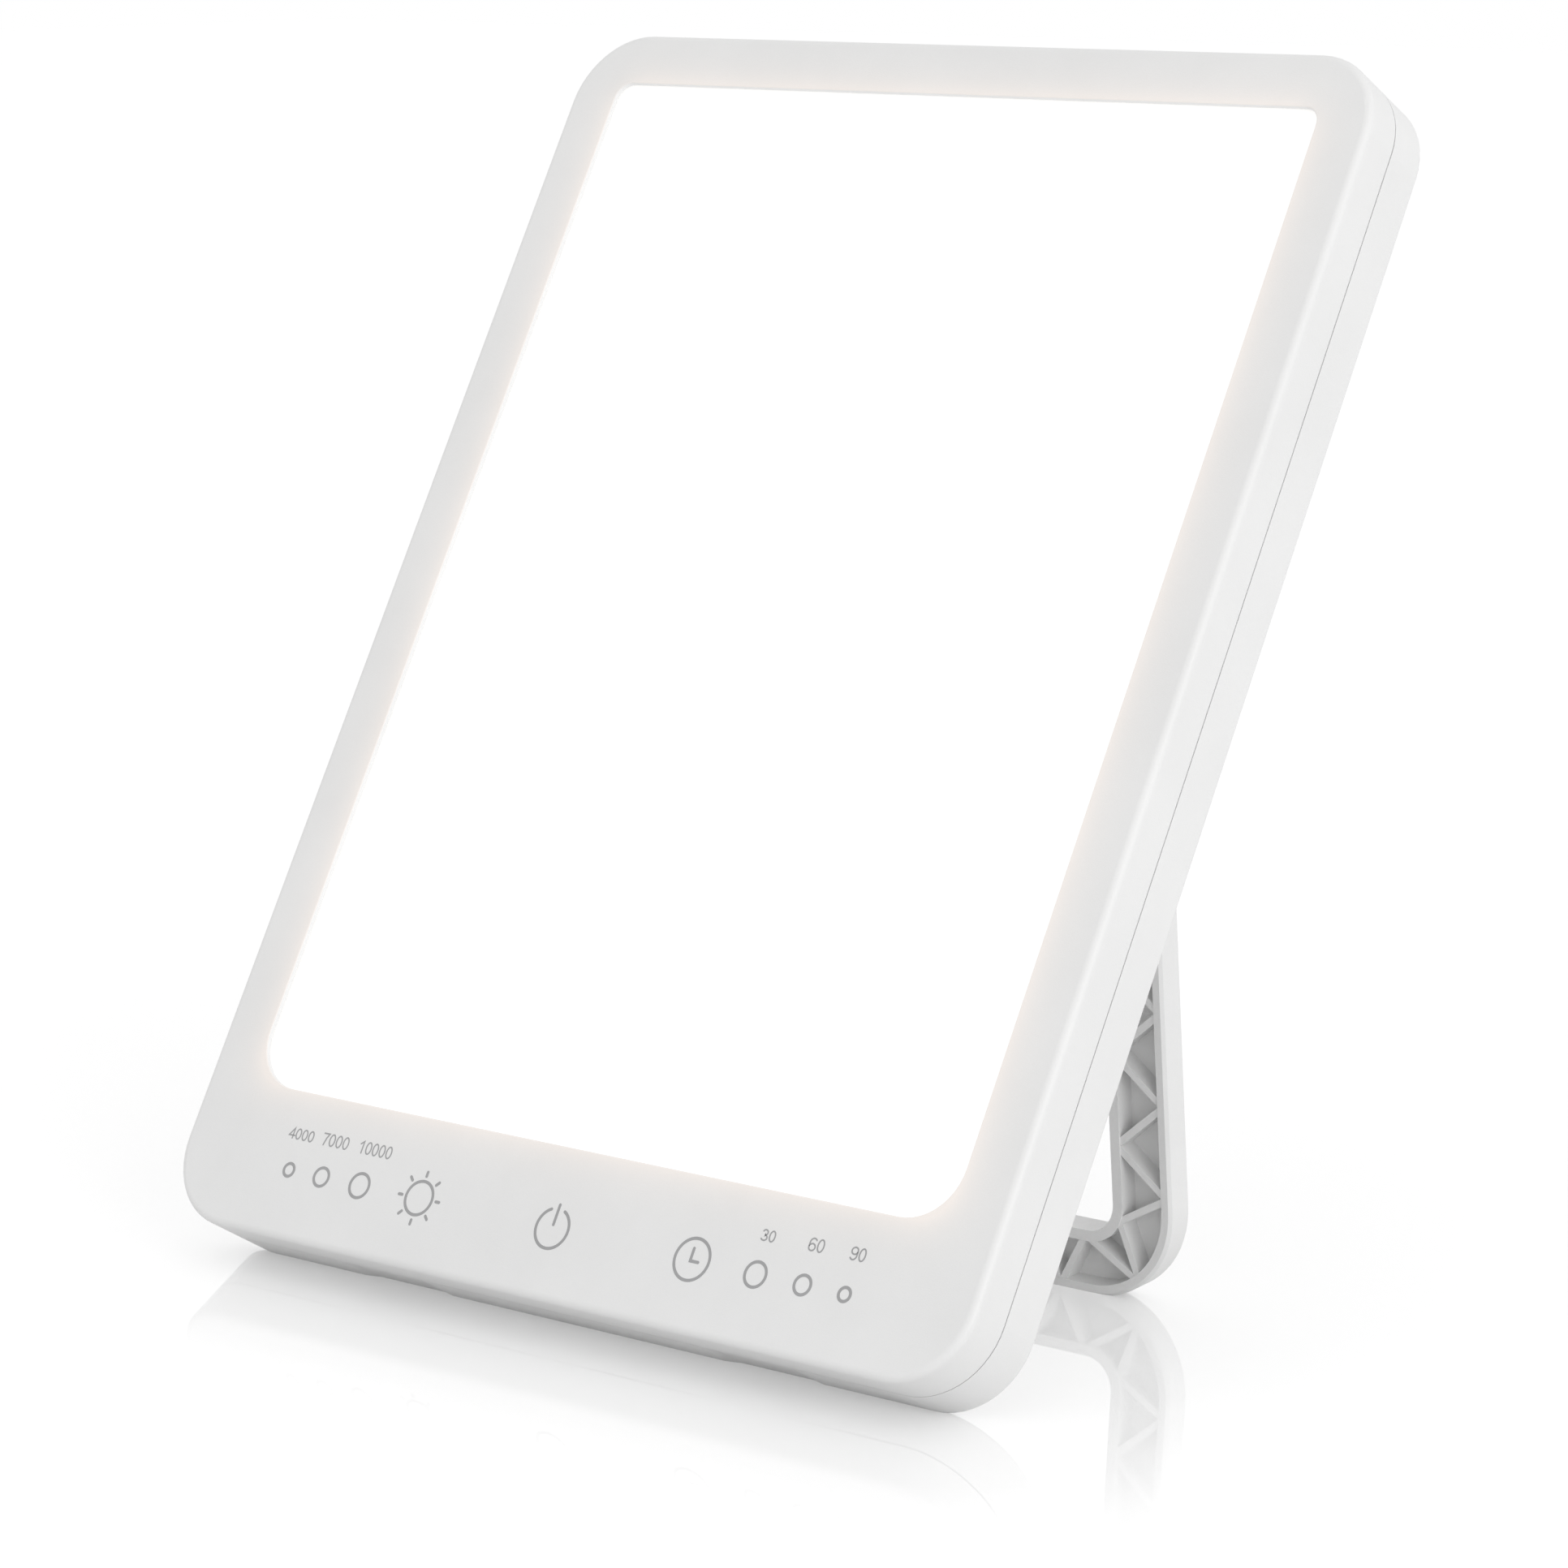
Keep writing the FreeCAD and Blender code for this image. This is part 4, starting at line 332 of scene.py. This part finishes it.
# %% Opal acrylic
opal, opal_tree, opal_shader = plastic("opal acrylic", (0.55, 0.55, 0.545), 0.5, grains=6000.0,
                                       depth=0.005, tone=0.01, smears=0.3, dust=0.0)
place = add(opal_tree, "TexCoord").outputs["Object"]
dots = add(opal_tree, "TexNoise", {"Vector": place}, Scale=14.0, Detail=1.0)
evenness = add(opal_tree, "ValToRGB", {0: dots.outputs[0]})
evenness.color_ramp.elements[0].color = (1.0, 0.985, 0.96, 1)
evenness.color_ramp.elements[1].color = (1.0, 1.0, 0.995, 1)
opal_tree.links.new(evenness.outputs[0], opal_shader.inputs["Emission Color"])
opal_shader.inputs["Emission Strength"].default_value = 0.58
print("opal acrylic has", len(opal_tree.nodes), "nodes")

# %% [markdown]
# ## Metals
# The back plate is brushed sheet, with fine parallel lines. Stretching a noise along one direction
# draws them: hardly any change along the line, and a fast one across it. The screws and hinge pins
# are plated, and the same noise left unstretched gives them an even, slightly mottled skin.

# %% Brushed metal group
group, given, out = new_group(
    "brushed lines",
    [("Colour", "Color", (0.7, 0.7, 0.7, 1)), ("Stretch", "Vector", (40.0, 9000.0, 9000.0)),
     ("Roughness", "Float", 0.3)],
    [("Colour", "Color"), ("Roughness", "Float"), ("Height", "Float")])
place = add(group, "TexCoord").outputs["Object"]
pulled = add(group, "VectorMath", {0: place, 1: given["Stretch"]}, operation="MULTIPLY")
lines = add(group, "TexNoise", {"Vector": pulled.outputs[0]}, Scale=1.0, Detail=4.0)
blotch = add(group, "TexNoise", {"Vector": place}, Scale=120.0, Detail=3.0)
tone = add(group, "MapRange", {0: lines.outputs[0]}, From_Min=0.3, From_Max=0.7, To_Min=0.9,
           To_Max=1.06)
tinted = add(group, "VectorMath", {0: given["Colour"], "Scale": tone.outputs[0]}, operation="SCALE")
stain = add(group, "MapRange", {0: blotch.outputs[0]}, From_Min=0.3, From_Max=0.7, To_Min=-0.06,
            To_Max=0.08)
gloss = add(group, "Math", {0: given["Roughness"], 1: stain.outputs[0]}, operation="ADD")
group.links.new(tinted.outputs[0], out["Colour"])
group.links.new(gloss.outputs[0], out["Roughness"])
group.links.new(lines.outputs[0], out["Height"])
BRUSHED_LINES = group


def metal(name, colour, roughness, stretch, depth=0.004, metallic=1.0):
    """Plated or brushed metal whose lines run along the axes with the small stretch."""
    material, tree, shader = new_material(name, colour, roughness, Metallic=metallic)
    brushed = place_group(tree, BRUSHED_LINES, Colour=(*colour, 1), Stretch=stretch,
                          Roughness=roughness)
    bump = add(tree, "Bump", {"Height": brushed["Height"]}, Strength=0.4, Distance=depth * MM)
    tree.links.new(brushed["Colour"], shader.inputs["Base Color"])
    tree.links.new(brushed["Roughness"], shader.inputs["Roughness"])
    tree.links.new(bump.outputs[0], shader.inputs["Normal"])
    return material


steel = metal("plated steel", (0.58, 0.58, 0.57), 0.28, (3000.0, 3000.0, 3000.0))
aluminium = metal("brushed aluminium", (0.78, 0.79, 0.80), 0.36, (8000.0, 40.0, 40.0))
can_sleeve = metal("capacitor sleeve", (0.05, 0.07, 0.14), 0.4, (500.0, 500.0, 4000.0), metallic=0.2)
print("metals:", steel.name, aluminium.name, can_sleeve.name)

# %% [markdown]
# ## Circuit boards
# A board is glass cloth under a lacquer, with copper tracks that show as slightly raised, lighter
# bands. The tracks could be drawn as geometry, but they are a few hundredths of a millimetre high
# and sit inside the box. A brick pattern turned by the panel's lean gives bands that run square
# to the board's edges, and a fine weave shows between them.

# %% Circuit board recipe
group, given, out = new_group(
    "board tracks",
    [("Lacquer", "Color", (0.02, 0.1, 0.04, 1)), ("Track", "Color", (0.06, 0.2, 0.09, 1)),
     ("Tracks per Metre", "Float", 260.0)],
    [("Colour", "Color"), ("Height", "Float")])
place = add(group, "TexCoord").outputs["Object"]
upright = add(group, "Mapping", {"Vector": place}, Rotation=(LEAN - math.pi / 2, 0.0, 0.0))
bricks = add(group, "TexBrick", {"Vector": upright.outputs[0], "Scale": given["Tracks per Metre"],
                                 "Color1": given["Lacquer"], "Color2": given["Lacquer"],
                                 "Mortar": given["Track"]}, Mortar_Size=0.06, Mortar_Smooth=0.3)
weave = add(group, "TexWave", {"Vector": upright.outputs[0]}, Scale=900.0, Distortion=0.5)
cloth = add(group, "MapRange", {0: weave.outputs["Fac"]}, To_Min=0.93, To_Max=1.05)
tinted = add(group, "VectorMath", {0: bricks.outputs["Color"], "Scale": cloth.outputs[0]},
             operation="SCALE")
group.links.new(tinted.outputs[0], out["Colour"])
group.links.new(bricks.outputs["Fac"], out["Height"])
BOARD_TRACKS = group


def board(name, lacquer, track, tracks_per_metre):
    """A lacquered circuit board with tracks in a second tone."""
    material, tree, shader = new_material(name, lacquer, 0.3, Coat_Weight=0.4, Coat_Roughness=0.15)
    layout = place_group(tree, BOARD_TRACKS, Lacquer=(*lacquer, 1), Track=(*track, 1),
                         Tracks_per_Metre=tracks_per_metre)
    bump = add(tree, "Bump", {"Height": layout["Height"]}, Strength=0.6, Distance=0.03 * MM)
    tree.links.new(layout["Colour"], shader.inputs["Base Color"])
    tree.links.new(bump.outputs[0], shader.inputs["Normal"])
    return material


green_board = board("circuit board", (0.012, 0.085, 0.035), (0.03, 0.16, 0.06), 260.0)
white_board = board("led board", (0.80, 0.80, 0.79), (0.70, 0.70, 0.68), 120.0)
print("boards:", green_board.name, white_board.name)

# %% [markdown]
# ## Sheets, foams and clear parts
# Behind the opal sheet lie a diffusing film, a clear guide with printed dots and a bright white
# reflector. The dots are what throws the light forward, so the guide isn't plain clear plastic:
# a regular grid of small pale spots covers it. The foams have open cells, which a cell pattern
# draws, and the light pipes are clear with faint flow marks from moulding.

# %% Films, foams and clear plastics
def speckled(name, colour, roughness, cells, depth, low, high, **shader_values):
    """A surface whose tone and height follow a cell pattern, for foams and films."""
    material, tree, shader = new_material(name, colour, roughness, **shader_values)
    place = add(tree, "TexCoord").outputs["Object"]
    cell = add(tree, "TexVoronoi", {"Vector": place}, Scale=cells)
    tone = add(tree, "ValToRGB", {0: cell.outputs["Distance"]})
    tone.color_ramp.elements[0].color = (*[c * low for c in colour], 1)
    tone.color_ramp.elements[1].color = (*[c * high for c in colour], 1)
    bump = add(tree, "Bump", {"Height": cell.outputs["Distance"]}, Strength=0.7, Distance=depth * MM)
    gloss = add(tree, "MapRange", {0: cell.outputs["Distance"]}, To_Min=roughness - 0.05,
                To_Max=roughness + 0.08)
    tree.links.new(tone.outputs[0], shader.inputs["Base Color"])
    tree.links.new(gloss.outputs[0], shader.inputs["Roughness"])
    tree.links.new(bump.outputs[0], shader.inputs["Normal"])
    return material


white_film = speckled("white film", (0.86, 0.86, 0.86), 0.25, 5000.0, 0.004, 0.97, 1.0)
gasket_foam = speckled("gasket foam", (0.58, 0.58, 0.57), 0.85, 2600.0, 0.06, 0.8, 1.05)
dark_foam = speckled("conductive foam", (0.035, 0.035, 0.037), 0.8, 2200.0, 0.08, 0.6, 1.3)
led_phosphor = speckled("led phosphor", (0.88, 0.72, 0.22), 0.3, 3000.0, 0.02, 0.9, 1.05)
guide_acrylic = speckled("light guide acrylic", (0.90, 0.93, 0.94), 0.08, 700.0, 0.01, 1.0, 0.96,
                         Transmission_Weight=0.85, IOR=1.49)
clear_pipe = speckled("clear light pipe", (0.92, 0.93, 0.93), 0.1, 400.0, 0.01, 1.0, 0.97,
                      Transmission_Weight=0.8, IOR=1.49)
print("sheets and foams:", white_film.name, gasket_foam.name, guide_acrylic.name)

# %% [markdown]
# ## Leads and the flat cable
# The leads inside are stranded wire in a soft black jacket, and the touch keys are joined to the
# board by a flat cable with parallel conductors that show as grey stripes through its white film.

# %% Cable finishes
lead_jacket = plastic("lead jacket", (0.022, 0.022, 0.024), 0.55, grains=1800.0, depth=0.05,
                      smears=0.1, dust=0.2)[0]
ribbon, ribbon_tree, ribbon_shader = new_material("flat cable", (0.7, 0.7, 0.69), 0.35)
place = add(ribbon_tree, "TexCoord").outputs["Object"]
stripes = add(ribbon_tree, "TexWave", {"Vector": place}, Scale=320.0, bands_direction="X")
stripe_tone = add(ribbon_tree, "ValToRGB", {0: stripes.outputs["Fac"]})
stripe_tone.color_ramp.elements[0].color = (0.42, 0.42, 0.43, 1)
stripe_tone.color_ramp.elements[1].color = (0.76, 0.76, 0.75, 1)
stripe_bump = add(ribbon_tree, "Bump", {"Height": stripes.outputs["Fac"]}, Distance=0.05 * MM)
ribbon_tree.links.new(stripe_tone.outputs[0], ribbon_shader.inputs["Base Color"])
ribbon_tree.links.new(stripe_bump.outputs[0], ribbon_shader.inputs["Normal"])
print("cables:", lead_jacket.name, ribbon.name)

# %% [markdown]
# ## Dress the frame
# Each piece of the frame now gets its finish by name. The shapes stay exactly as they came.

# %% Give each piece its material
FINISHES = {
    bezel_plastic: ["front_housing"],
    shell_plastic: ["rear_housing"],
    stand_plastic: ["stand_frame"],
    opal: ["diffuser_panel"],
    gasket_foam: ["diffuser_gasket"],
    white_film: ["diffusing_film", "reflector_sheet", "driver_insulator"],
    guide_acrylic: ["light_guide_plate"],
    aluminium: ["back_plate"],
    white_board: ["led_board_left", "led_board_right"],
    led_phosphor: ["leds_left", "leds_right", "indicator_leds"],
    green_board: ["control_board", "driver_board"],
    dark_foam: ["touch_pad_light", "touch_pad_power", "touch_pad_timer"],
    clear_pipe: ["light_pipes_light", "light_pipes_timer"],
    black_plastic: ["touch_chip", "driver_chips", "driver_inductor", "power_inlet"],
    can_sleeve: ["driver_capacitors"],
    nylon: ["driver_sockets", "hinge_bush_left", "hinge_bush_right", "hinge_washers"],
    lead_jacket: ["inlet_lead", "led_lead_left", "led_lead_right"],
    ribbon: ["control_ribbon"],
    steel: ["inlet_pin", "housing_screws", "control_screws", "plate_screws", "driver_screws",
            "keeper_screws", "hinge_pin_left", "hinge_pin_right", "hinge_keeper_left",
            "hinge_keeper_right"],
}
dressed = set()
for material, names in FINISHES.items():
    for name in names:
        mesh = nodes[name].data
        if not mesh.materials:
            mesh.materials.append(material)
        for slot in nodes[name].material_slots:
            slot.material = material
        dressed.add(name)
print("dressed:", len(dressed), "still bare:", sorted(set(nodes) - dressed))

# %% [markdown]
# ## Printed symbols
# The symbols are pad printed in grey: strokes of even width with round ends. Text objects could
# write the numbers, but their font isn't the drawn one, and the symbols would still need curves.
# Each symbol is a few strokes, so one function turns a line of points into a thin inked band that
# lies on the face, with a half round at each open end. Each stroke lies a hair above the last one,
# as a pen's strokes do, so no two faces fight where strokes cross.

# %% Ink strokes
INK_HEIGHT = 0.025
INK_ROOT = 0.05
PEN_STEP = 0.0015
CAP_STEPS = 6


def arc(x, v, across, up, start, end, steps=24):
    """Points on an ellipse from one angle to another, in degrees anticlockwise from the right."""
    angles = [math.radians(start + (end - start) * k / steps) for k in range(steps + 1)]
    return [(x + across * math.cos(a), v + up * math.sin(a)) for a in angles]


def stroke_sides(points, width, closed):
    """Left and right edge of a stroke, with its corners mitred."""
    left, right = [], []
    count = len(points)
    for k in range(count):
        here = Vector(points[k])
        before = Vector(points[k - 1]) if closed or k else None
        after = Vector(points[(k + 1) % count]) if closed or k < count - 1 else None
        ways = [(b - a).normalized() for a, b in ((before, here), (here, after)) if a and b]
        mean = sum(ways, Vector((0, 0))).normalized()
        side = Vector((-mean.y, mean.x))
        reach = width / 2 / max(side.dot(Vector((-ways[0].y, ways[0].x))), 0.35)
        left.append(here + side * reach)
        right.append(here - side * reach)
    return left, right


def cap(middle, start, width_side):
    """Half round at the end of a stroke, from one side to the other."""
    steps = [math.pi * k / CAP_STEPS for k in range(1, CAP_STEPS)]
    turn = Vector((-width_side.y, width_side.x)) * start
    return [middle + width_side * math.cos(a) + turn * math.sin(a) for a in steps]


def ink_stroke(mesh, points, width, order, closed=False):
    """Adds one stroke, as a closed thin solid, to a mesh on the panel's face."""
    left, right = stroke_sides(points, width, closed)
    top = FACE_LEVEL + INK_HEIGHT + order * PEN_STEP
    root = FACE_LEVEL - INK_ROOT
    corners = {}
    for side, edge in (("left", left), ("right", right)):
        for height, level in (("top", top), ("root", root)):
            corners[side, height] = [mesh.verts.new(on_panel(p.x, p.y, level)) for p in edge]
    count = len(points)
    for k in range(count if closed else count - 1):
        n = (k + 1) % count
        for a, b in ((("left", "top"), ("right", "top")), (("right", "root"), ("left", "root")),
                     (("left", "root"), ("left", "top")), (("right", "top"), ("right", "root"))):
            mesh.faces.new((corners[a][k], corners[b][k], corners[b][n], corners[a][n]))
    if closed:
        return
    tail = cap(Vector(points[0]), 1, left[0] - Vector(points[0]))
    tip = cap(Vector(points[-1]), -1, left[-1] - Vector(points[-1]))
    for end, rounding in ((0, tail), (-1, tip)):
        upper = [mesh.verts.new(on_panel(p.x, p.y, top)) for p in rounding]
        lower = [mesh.verts.new(on_panel(p.x, p.y, root)) for p in rounding]
        over = [corners["left", "top"][end], *upper, corners["right", "top"][end]]
        under = [corners["left", "root"][end], *lower, corners["right", "root"][end]]
        mesh.faces.new(over)
        mesh.faces.new(under)
        for k in range(len(over) - 1):
            mesh.faces.new((over[k], over[k + 1], under[k + 1], under[k]))


print("ink stands", INK_HEIGHT, "mm proud of the face")

# %% [markdown]
# ## The ink and its pieces
# Pad print is a thin matt film: slightly uneven in tone, with the shell's grain showing through.
# Each group of strokes becomes one piece that rides on the panel.

# %% Printed piece
INK_GREY = (0.36, 0.36, 0.365)
ink = plastic("grey print", INK_GREY, 0.5, depth=0.01, tone=0.06, smears=0.2, dust=0.0)[0]


def printed(name, strokes):
    """One printed piece from (points, width, closed) strokes in panel millimetres."""
    mesh = bmesh.new()
    for order, (points, width, closed) in enumerate(strokes):
        ink_stroke(mesh, points, width, order % 6, closed)
    bmesh.ops.recalc_face_normals(mesh, faces=mesh.faces)
    data = bpy.data.meshes.new(name)
    mesh.to_mesh(data)
    mesh.free()
    data.materials.append(ink)
    piece = bpy.data.objects.new(name, data)
    bpy.context.scene.collection.objects.link(piece)
    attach(piece, "panel")
    print(name, "strokes", len(strokes), "faces", len(data.polygons))
    return piece


# %% [markdown]
# ## Rings, sun, power sign and clock
# Each key is one symbol. Beside the sun, three rings grow with the brightness, and beside the
# clock, three rings shrink towards the far end. The rings sit over the indicator lights.

# %% Touch symbols
LINE = 0.62
RING_ROW = 13.7
LIGHT_RINGS = ((-69.93, 1.63), (-61.0, 2.2), (-50.6, 2.77))
TIMER_RINGS = ((50.1, 2.73), (61.23, 2.17), (71.03, 1.63))


def ring(x, v, radius, width=LINE):
    """A full ring, given by the radius of its outer edge."""
    return arc(x, v, radius - width / 2, radius - width / 2, 0, 352.5, 47), width, True


SUN = (-34.67, 13.87)
SUN_RADIUS = 3.7
RAYS = (4.45, 5.3)
RAY_COUNT = 8
CLOCK = (34.77, 13.87)
CLOCK_RADIUS = 4.37
POWER = (0.0, 13.8)
POWER_RADIUS = 4.27 - LINE / 2
POWER_GAP = (115, 425)

rays = []
for k in range(RAY_COUNT):
    turn = math.radians(360 / RAY_COUNT * k)
    rays.append(([(SUN[0] + r * math.cos(turn), SUN[1] + r * math.sin(turn)) for r in RAYS], LINE,
                 False))
printed("print_sun", [ring(*SUN, SUN_RADIUS), *rays])
printed("print_power", [(arc(*POWER, POWER_RADIUS, POWER_RADIUS, *POWER_GAP, 60), LINE, False),
                        ([(POWER[0], POWER[1] + 0.75), (POWER[0], POWER[1] + 4.7)], LINE, False)])
hands = [(CLOCK[0] - 0.3, CLOCK[1] + 2.1), (CLOCK[0] - 0.3, CLOCK[1] - 0.34),
         (CLOCK[0] + 1.6, CLOCK[1] - 0.34)]
printed("print_clock", [ring(*CLOCK, CLOCK_RADIUS), (hands, LINE, False)])
printed("print_light_rings", [ring(x, RING_ROW, radius) for x, radius in LIGHT_RINGS])
printed("print_timer_rings", [ring(x, RING_ROW, radius) for x, radius in TIMER_RINGS])

# %% [markdown]
# ## Plain numbers
# The scales carry plain numbers, drawn with the same pen but thinner. A glyph is a list of strokes
# in a box one unit high, so a number is a loop that steps along. The places beside the scales, at
# the panel's two sides, stay bare.

# %% Glyphs
def oval(x, v, across, up):
    """A closed oval stroke in glyph units."""
    return arc(x, v, across, up, 0, 345, 23), True


GLYPHS = {
    "0": (0.62, [oval(0.29, 0.5, 0.22, 0.46)]),
    "1": (0.62, [([(0.12, 0.74), (0.36, 0.96), (0.36, 0.04)], False)]),
    "3": (0.62, [(arc(0.27, 0.73, 0.2, 0.23, 155, -90, 14) + arc(0.27, 0.27, 0.24, 0.23, 90, -150, 16),
                  False)]),
    "4": (0.62, [([(0.42, 0.04), (0.42, 0.96), (0.04, 0.3), (0.58, 0.3)], False)]),
    "6": (0.62, [(arc(0.31, 0.62, 0.25, 0.34, 40, 180, 12) + arc(0.29, 0.3, 0.23, 0.26, 180, 520, 24),
                  False)]),
    "7": (0.62, [([(0.06, 0.95), (0.53, 0.95), (0.36, 0.6), (0.24, 0.04)], False)]),
    "9": (0.62, [(arc(0.27, 0.38, 0.25, 0.34, 220, 360, 12) + arc(0.29, 0.7, 0.23, 0.26, 0, 340, 24),
                  False)]),
}


def number(text, left, low, high, right, pen):
    """Strokes of a number that fills the box from left to right and from low to high."""
    advance = sum(GLYPHS[digit][0] for digit in text)
    height = high - low
    stretch = (right - left) / (advance - 0.1)
    strokes = []
    for digit in text:
        width, lines = GLYPHS[digit]
        for points, closed in lines:
            strokes.append(([(left + x * stretch, low + v * height) for x, v in points], pen, closed))
        left += width * stretch
    return strokes


NUMBER_PEN = 0.3
LIGHT_BASE = 19.95
TIMER_BASE = 20.1
LIGHT_NUMBERS = (("4000", -73.27, -66.67, 22.2), ("7000", -64.27, -57.13, 22.5),
                 ("10000", -54.27, -45.47, 22.5))
TIMER_NUMBERS = (("30", 48.47, 51.67, 22.3), ("60", 59.6, 63.13, 22.65), ("90", 69.33, 72.8, 22.65))
for name, base, numbers in (("print_light_numbers", LIGHT_BASE, LIGHT_NUMBERS),
                            ("print_timer_numbers", TIMER_BASE, TIMER_NUMBERS)):
    strokes = []
    for text, left, right, high in numbers:
        strokes += number(text, left, base, high, right, NUMBER_PEN)
    printed(name, strokes)

# %% [markdown]
# ## Floor
# The picture has a white, slightly mirroring floor: the contact shadow is a soft grey, and the
# stand's reflection shows faintly below it. A white floor could be had with stronger lamps, but
# those would bleach the lamp too. Instead the floor adds a little light of its own, seen only by
# the camera and in reflections, so that the open floor reads white and shadows stay. The mirror
# grows towards grazing views, as on any lacquered board, so the Fresnel node mixes it in. A glossy
# shader starts out light grey, which would draw a grey horizon, so its colour is set to white.
# In the picture the mirror image is clear at the foot and gone a few centimetres further out, so
# the mirror's share also falls with the distance from the ground that the lamp covers.

# %% Floor
FLOOR_SIZE = 12.0
FLOOR_COLOUR = (0.76, 0.76, 0.76, 1)
FLOOR_LIFT = 0.35
MIRROR_INDEX = 2.0
COVERED_HALF = 0.1
COVERED_FRONT = -0.016
MIRROR_FULL = 0.02
MIRROR_FADED = 0.055
MIRROR_LEFT = 0.25


def seen_directly(tree):
    """A socket that is 1 for the camera, reflections and clear parts, and 0 for diffuse light."""
    path = add(tree, "LightPath").outputs
    open_view = add(tree, "Math", {0: path["Is Camera Ray"], 1: path["Is Glossy Ray"]},
                    operation="MAXIMUM")
    return add(tree, "Math", {0: open_view.outputs[0], 1: path["Is Transmission Ray"]},
               operation="MAXIMUM").outputs[0]


floor_mesh = bpy.data.meshes.new("floor")
half = FLOOR_SIZE / 2
floor_mesh.from_pydata([(-half, -half, 0), (half, -half, 0), (half, half, 0), (-half, half, 0)], [],
                       [(0, 1, 2, 3)])
floor = bpy.data.objects.new("floor", floor_mesh)
bpy.context.scene.collection.objects.link(floor)

floor_paint = bpy.data.materials.new("white floor")
floor_paint.use_nodes = True
tree = floor_paint.node_tree
tree.nodes.clear()
matt = add(tree, "BsdfDiffuse", Color=FLOOR_COLOUR)
lift = add(tree, "Math", {0: seen_directly(tree)}, operation="MULTIPLY")
lift.inputs[1].default_value = FLOOR_LIFT
own_light = add(tree, "Emission", {"Strength": lift.outputs[0]})
lit_floor = add(tree, "AddShader", {0: matt.outputs[0], 1: own_light.outputs[0]})
mirror = add(tree, "BsdfGlossy", Color=(1, 1, 1, 1), Roughness=0.0)
grazing = add(tree, "Fresnel", IOR=MIRROR_INDEX)
ground = add(tree, "SeparateXYZ", {0: add(tree, "NewGeometry").outputs["Position"]})
across = add(tree, "Math", {0: ground.outputs["X"]}, operation="ABSOLUTE")
past_side = add(tree, "Math", {0: across.outputs[0]}, operation="SUBTRACT", use_clamp=True)
past_side.inputs[1].default_value = COVERED_HALF
past_front = add(tree, "Math", {1: ground.outputs["Y"]}, operation="SUBTRACT", use_clamp=True)
past_front.inputs[0].default_value = COVERED_FRONT
outward = add(tree, "CombineXYZ", {0: past_side.outputs[0], 1: past_front.outputs[0]})
apart = add(tree, "VectorMath", {0: outward.outputs[0]}, operation="LENGTH")
share = add(tree, "MapRange", {0: apart.outputs["Value"]}, interpolation_type="SMOOTHSTEP",
            From_Min=MIRROR_FULL, From_Max=MIRROR_FADED, To_Min=1.0, To_Max=MIRROR_LEFT)
shine = add(tree, "Math", {0: grazing.outputs[0], 1: share.outputs[0]}, operation="MULTIPLY")
both = add(tree, "MixShader", {0: shine.outputs[0], 1: lit_floor.outputs[0], 2: mirror.outputs[0]})
add(tree, "OutputMaterial", {"Surface": both.outputs[0]})
floor_mesh.materials.append(floor_paint)
print("floor is", FLOOR_SIZE, "m across")

# %% [markdown]
# ## Light
# The light is that of a white studio tent: nearly even from all round, a little stronger from the
# right, so the panel's side is slightly brighter than its face. The tent is the world's colour.
# To the camera and to reflections the tent is white, and to the surfaces it gives the plain level
# at which a colour renders about as it is written.

# %% World and lamps
TENT_LEVEL = 0.862
SOFTBOX_PLACE = (1.6, -0.5, 0.45)
SOFTBOX_SIZE = 1.0
SOFTBOX_WATTS = 8.0
world = bpy.data.worlds.new("studio tent")
bpy.context.scene.world = world
world.use_nodes = True
tree = world.node_tree
tree.nodes.clear()
tent = add(tree, "MapRange", {0: seen_directly(tree)}, To_Min=TENT_LEVEL, To_Max=1.0)
backdrop = add(tree, "Background", {"Strength": tent.outputs[0]}, Color=(1, 1, 1, 1))
add(tree, "OutputWorld", {"Surface": backdrop.outputs[0]})


def softbox(name, place, size, watts):
    """A square area lamp that looks at the middle of the panel."""
    data = bpy.data.lights.new(name, "AREA")
    data.size = size
    data.energy = watts
    lamp = bpy.data.objects.new(name, data)
    lamp.location = place
    lamp.rotation_mode = "QUATERNION"
    lamp.rotation_quaternion = (on_panel(0, 130, 10) - Vector(place)).to_track_quat("-Z", "Y")
    bpy.context.scene.collection.objects.link(lamp)
    return lamp


softbox("right softbox", SOFTBOX_PLACE, SOFTBOX_SIZE, SOFTBOX_WATTS)
bpy.context.scene.view_settings.view_transform = "Standard"
print("tent level", TENT_LEVEL)
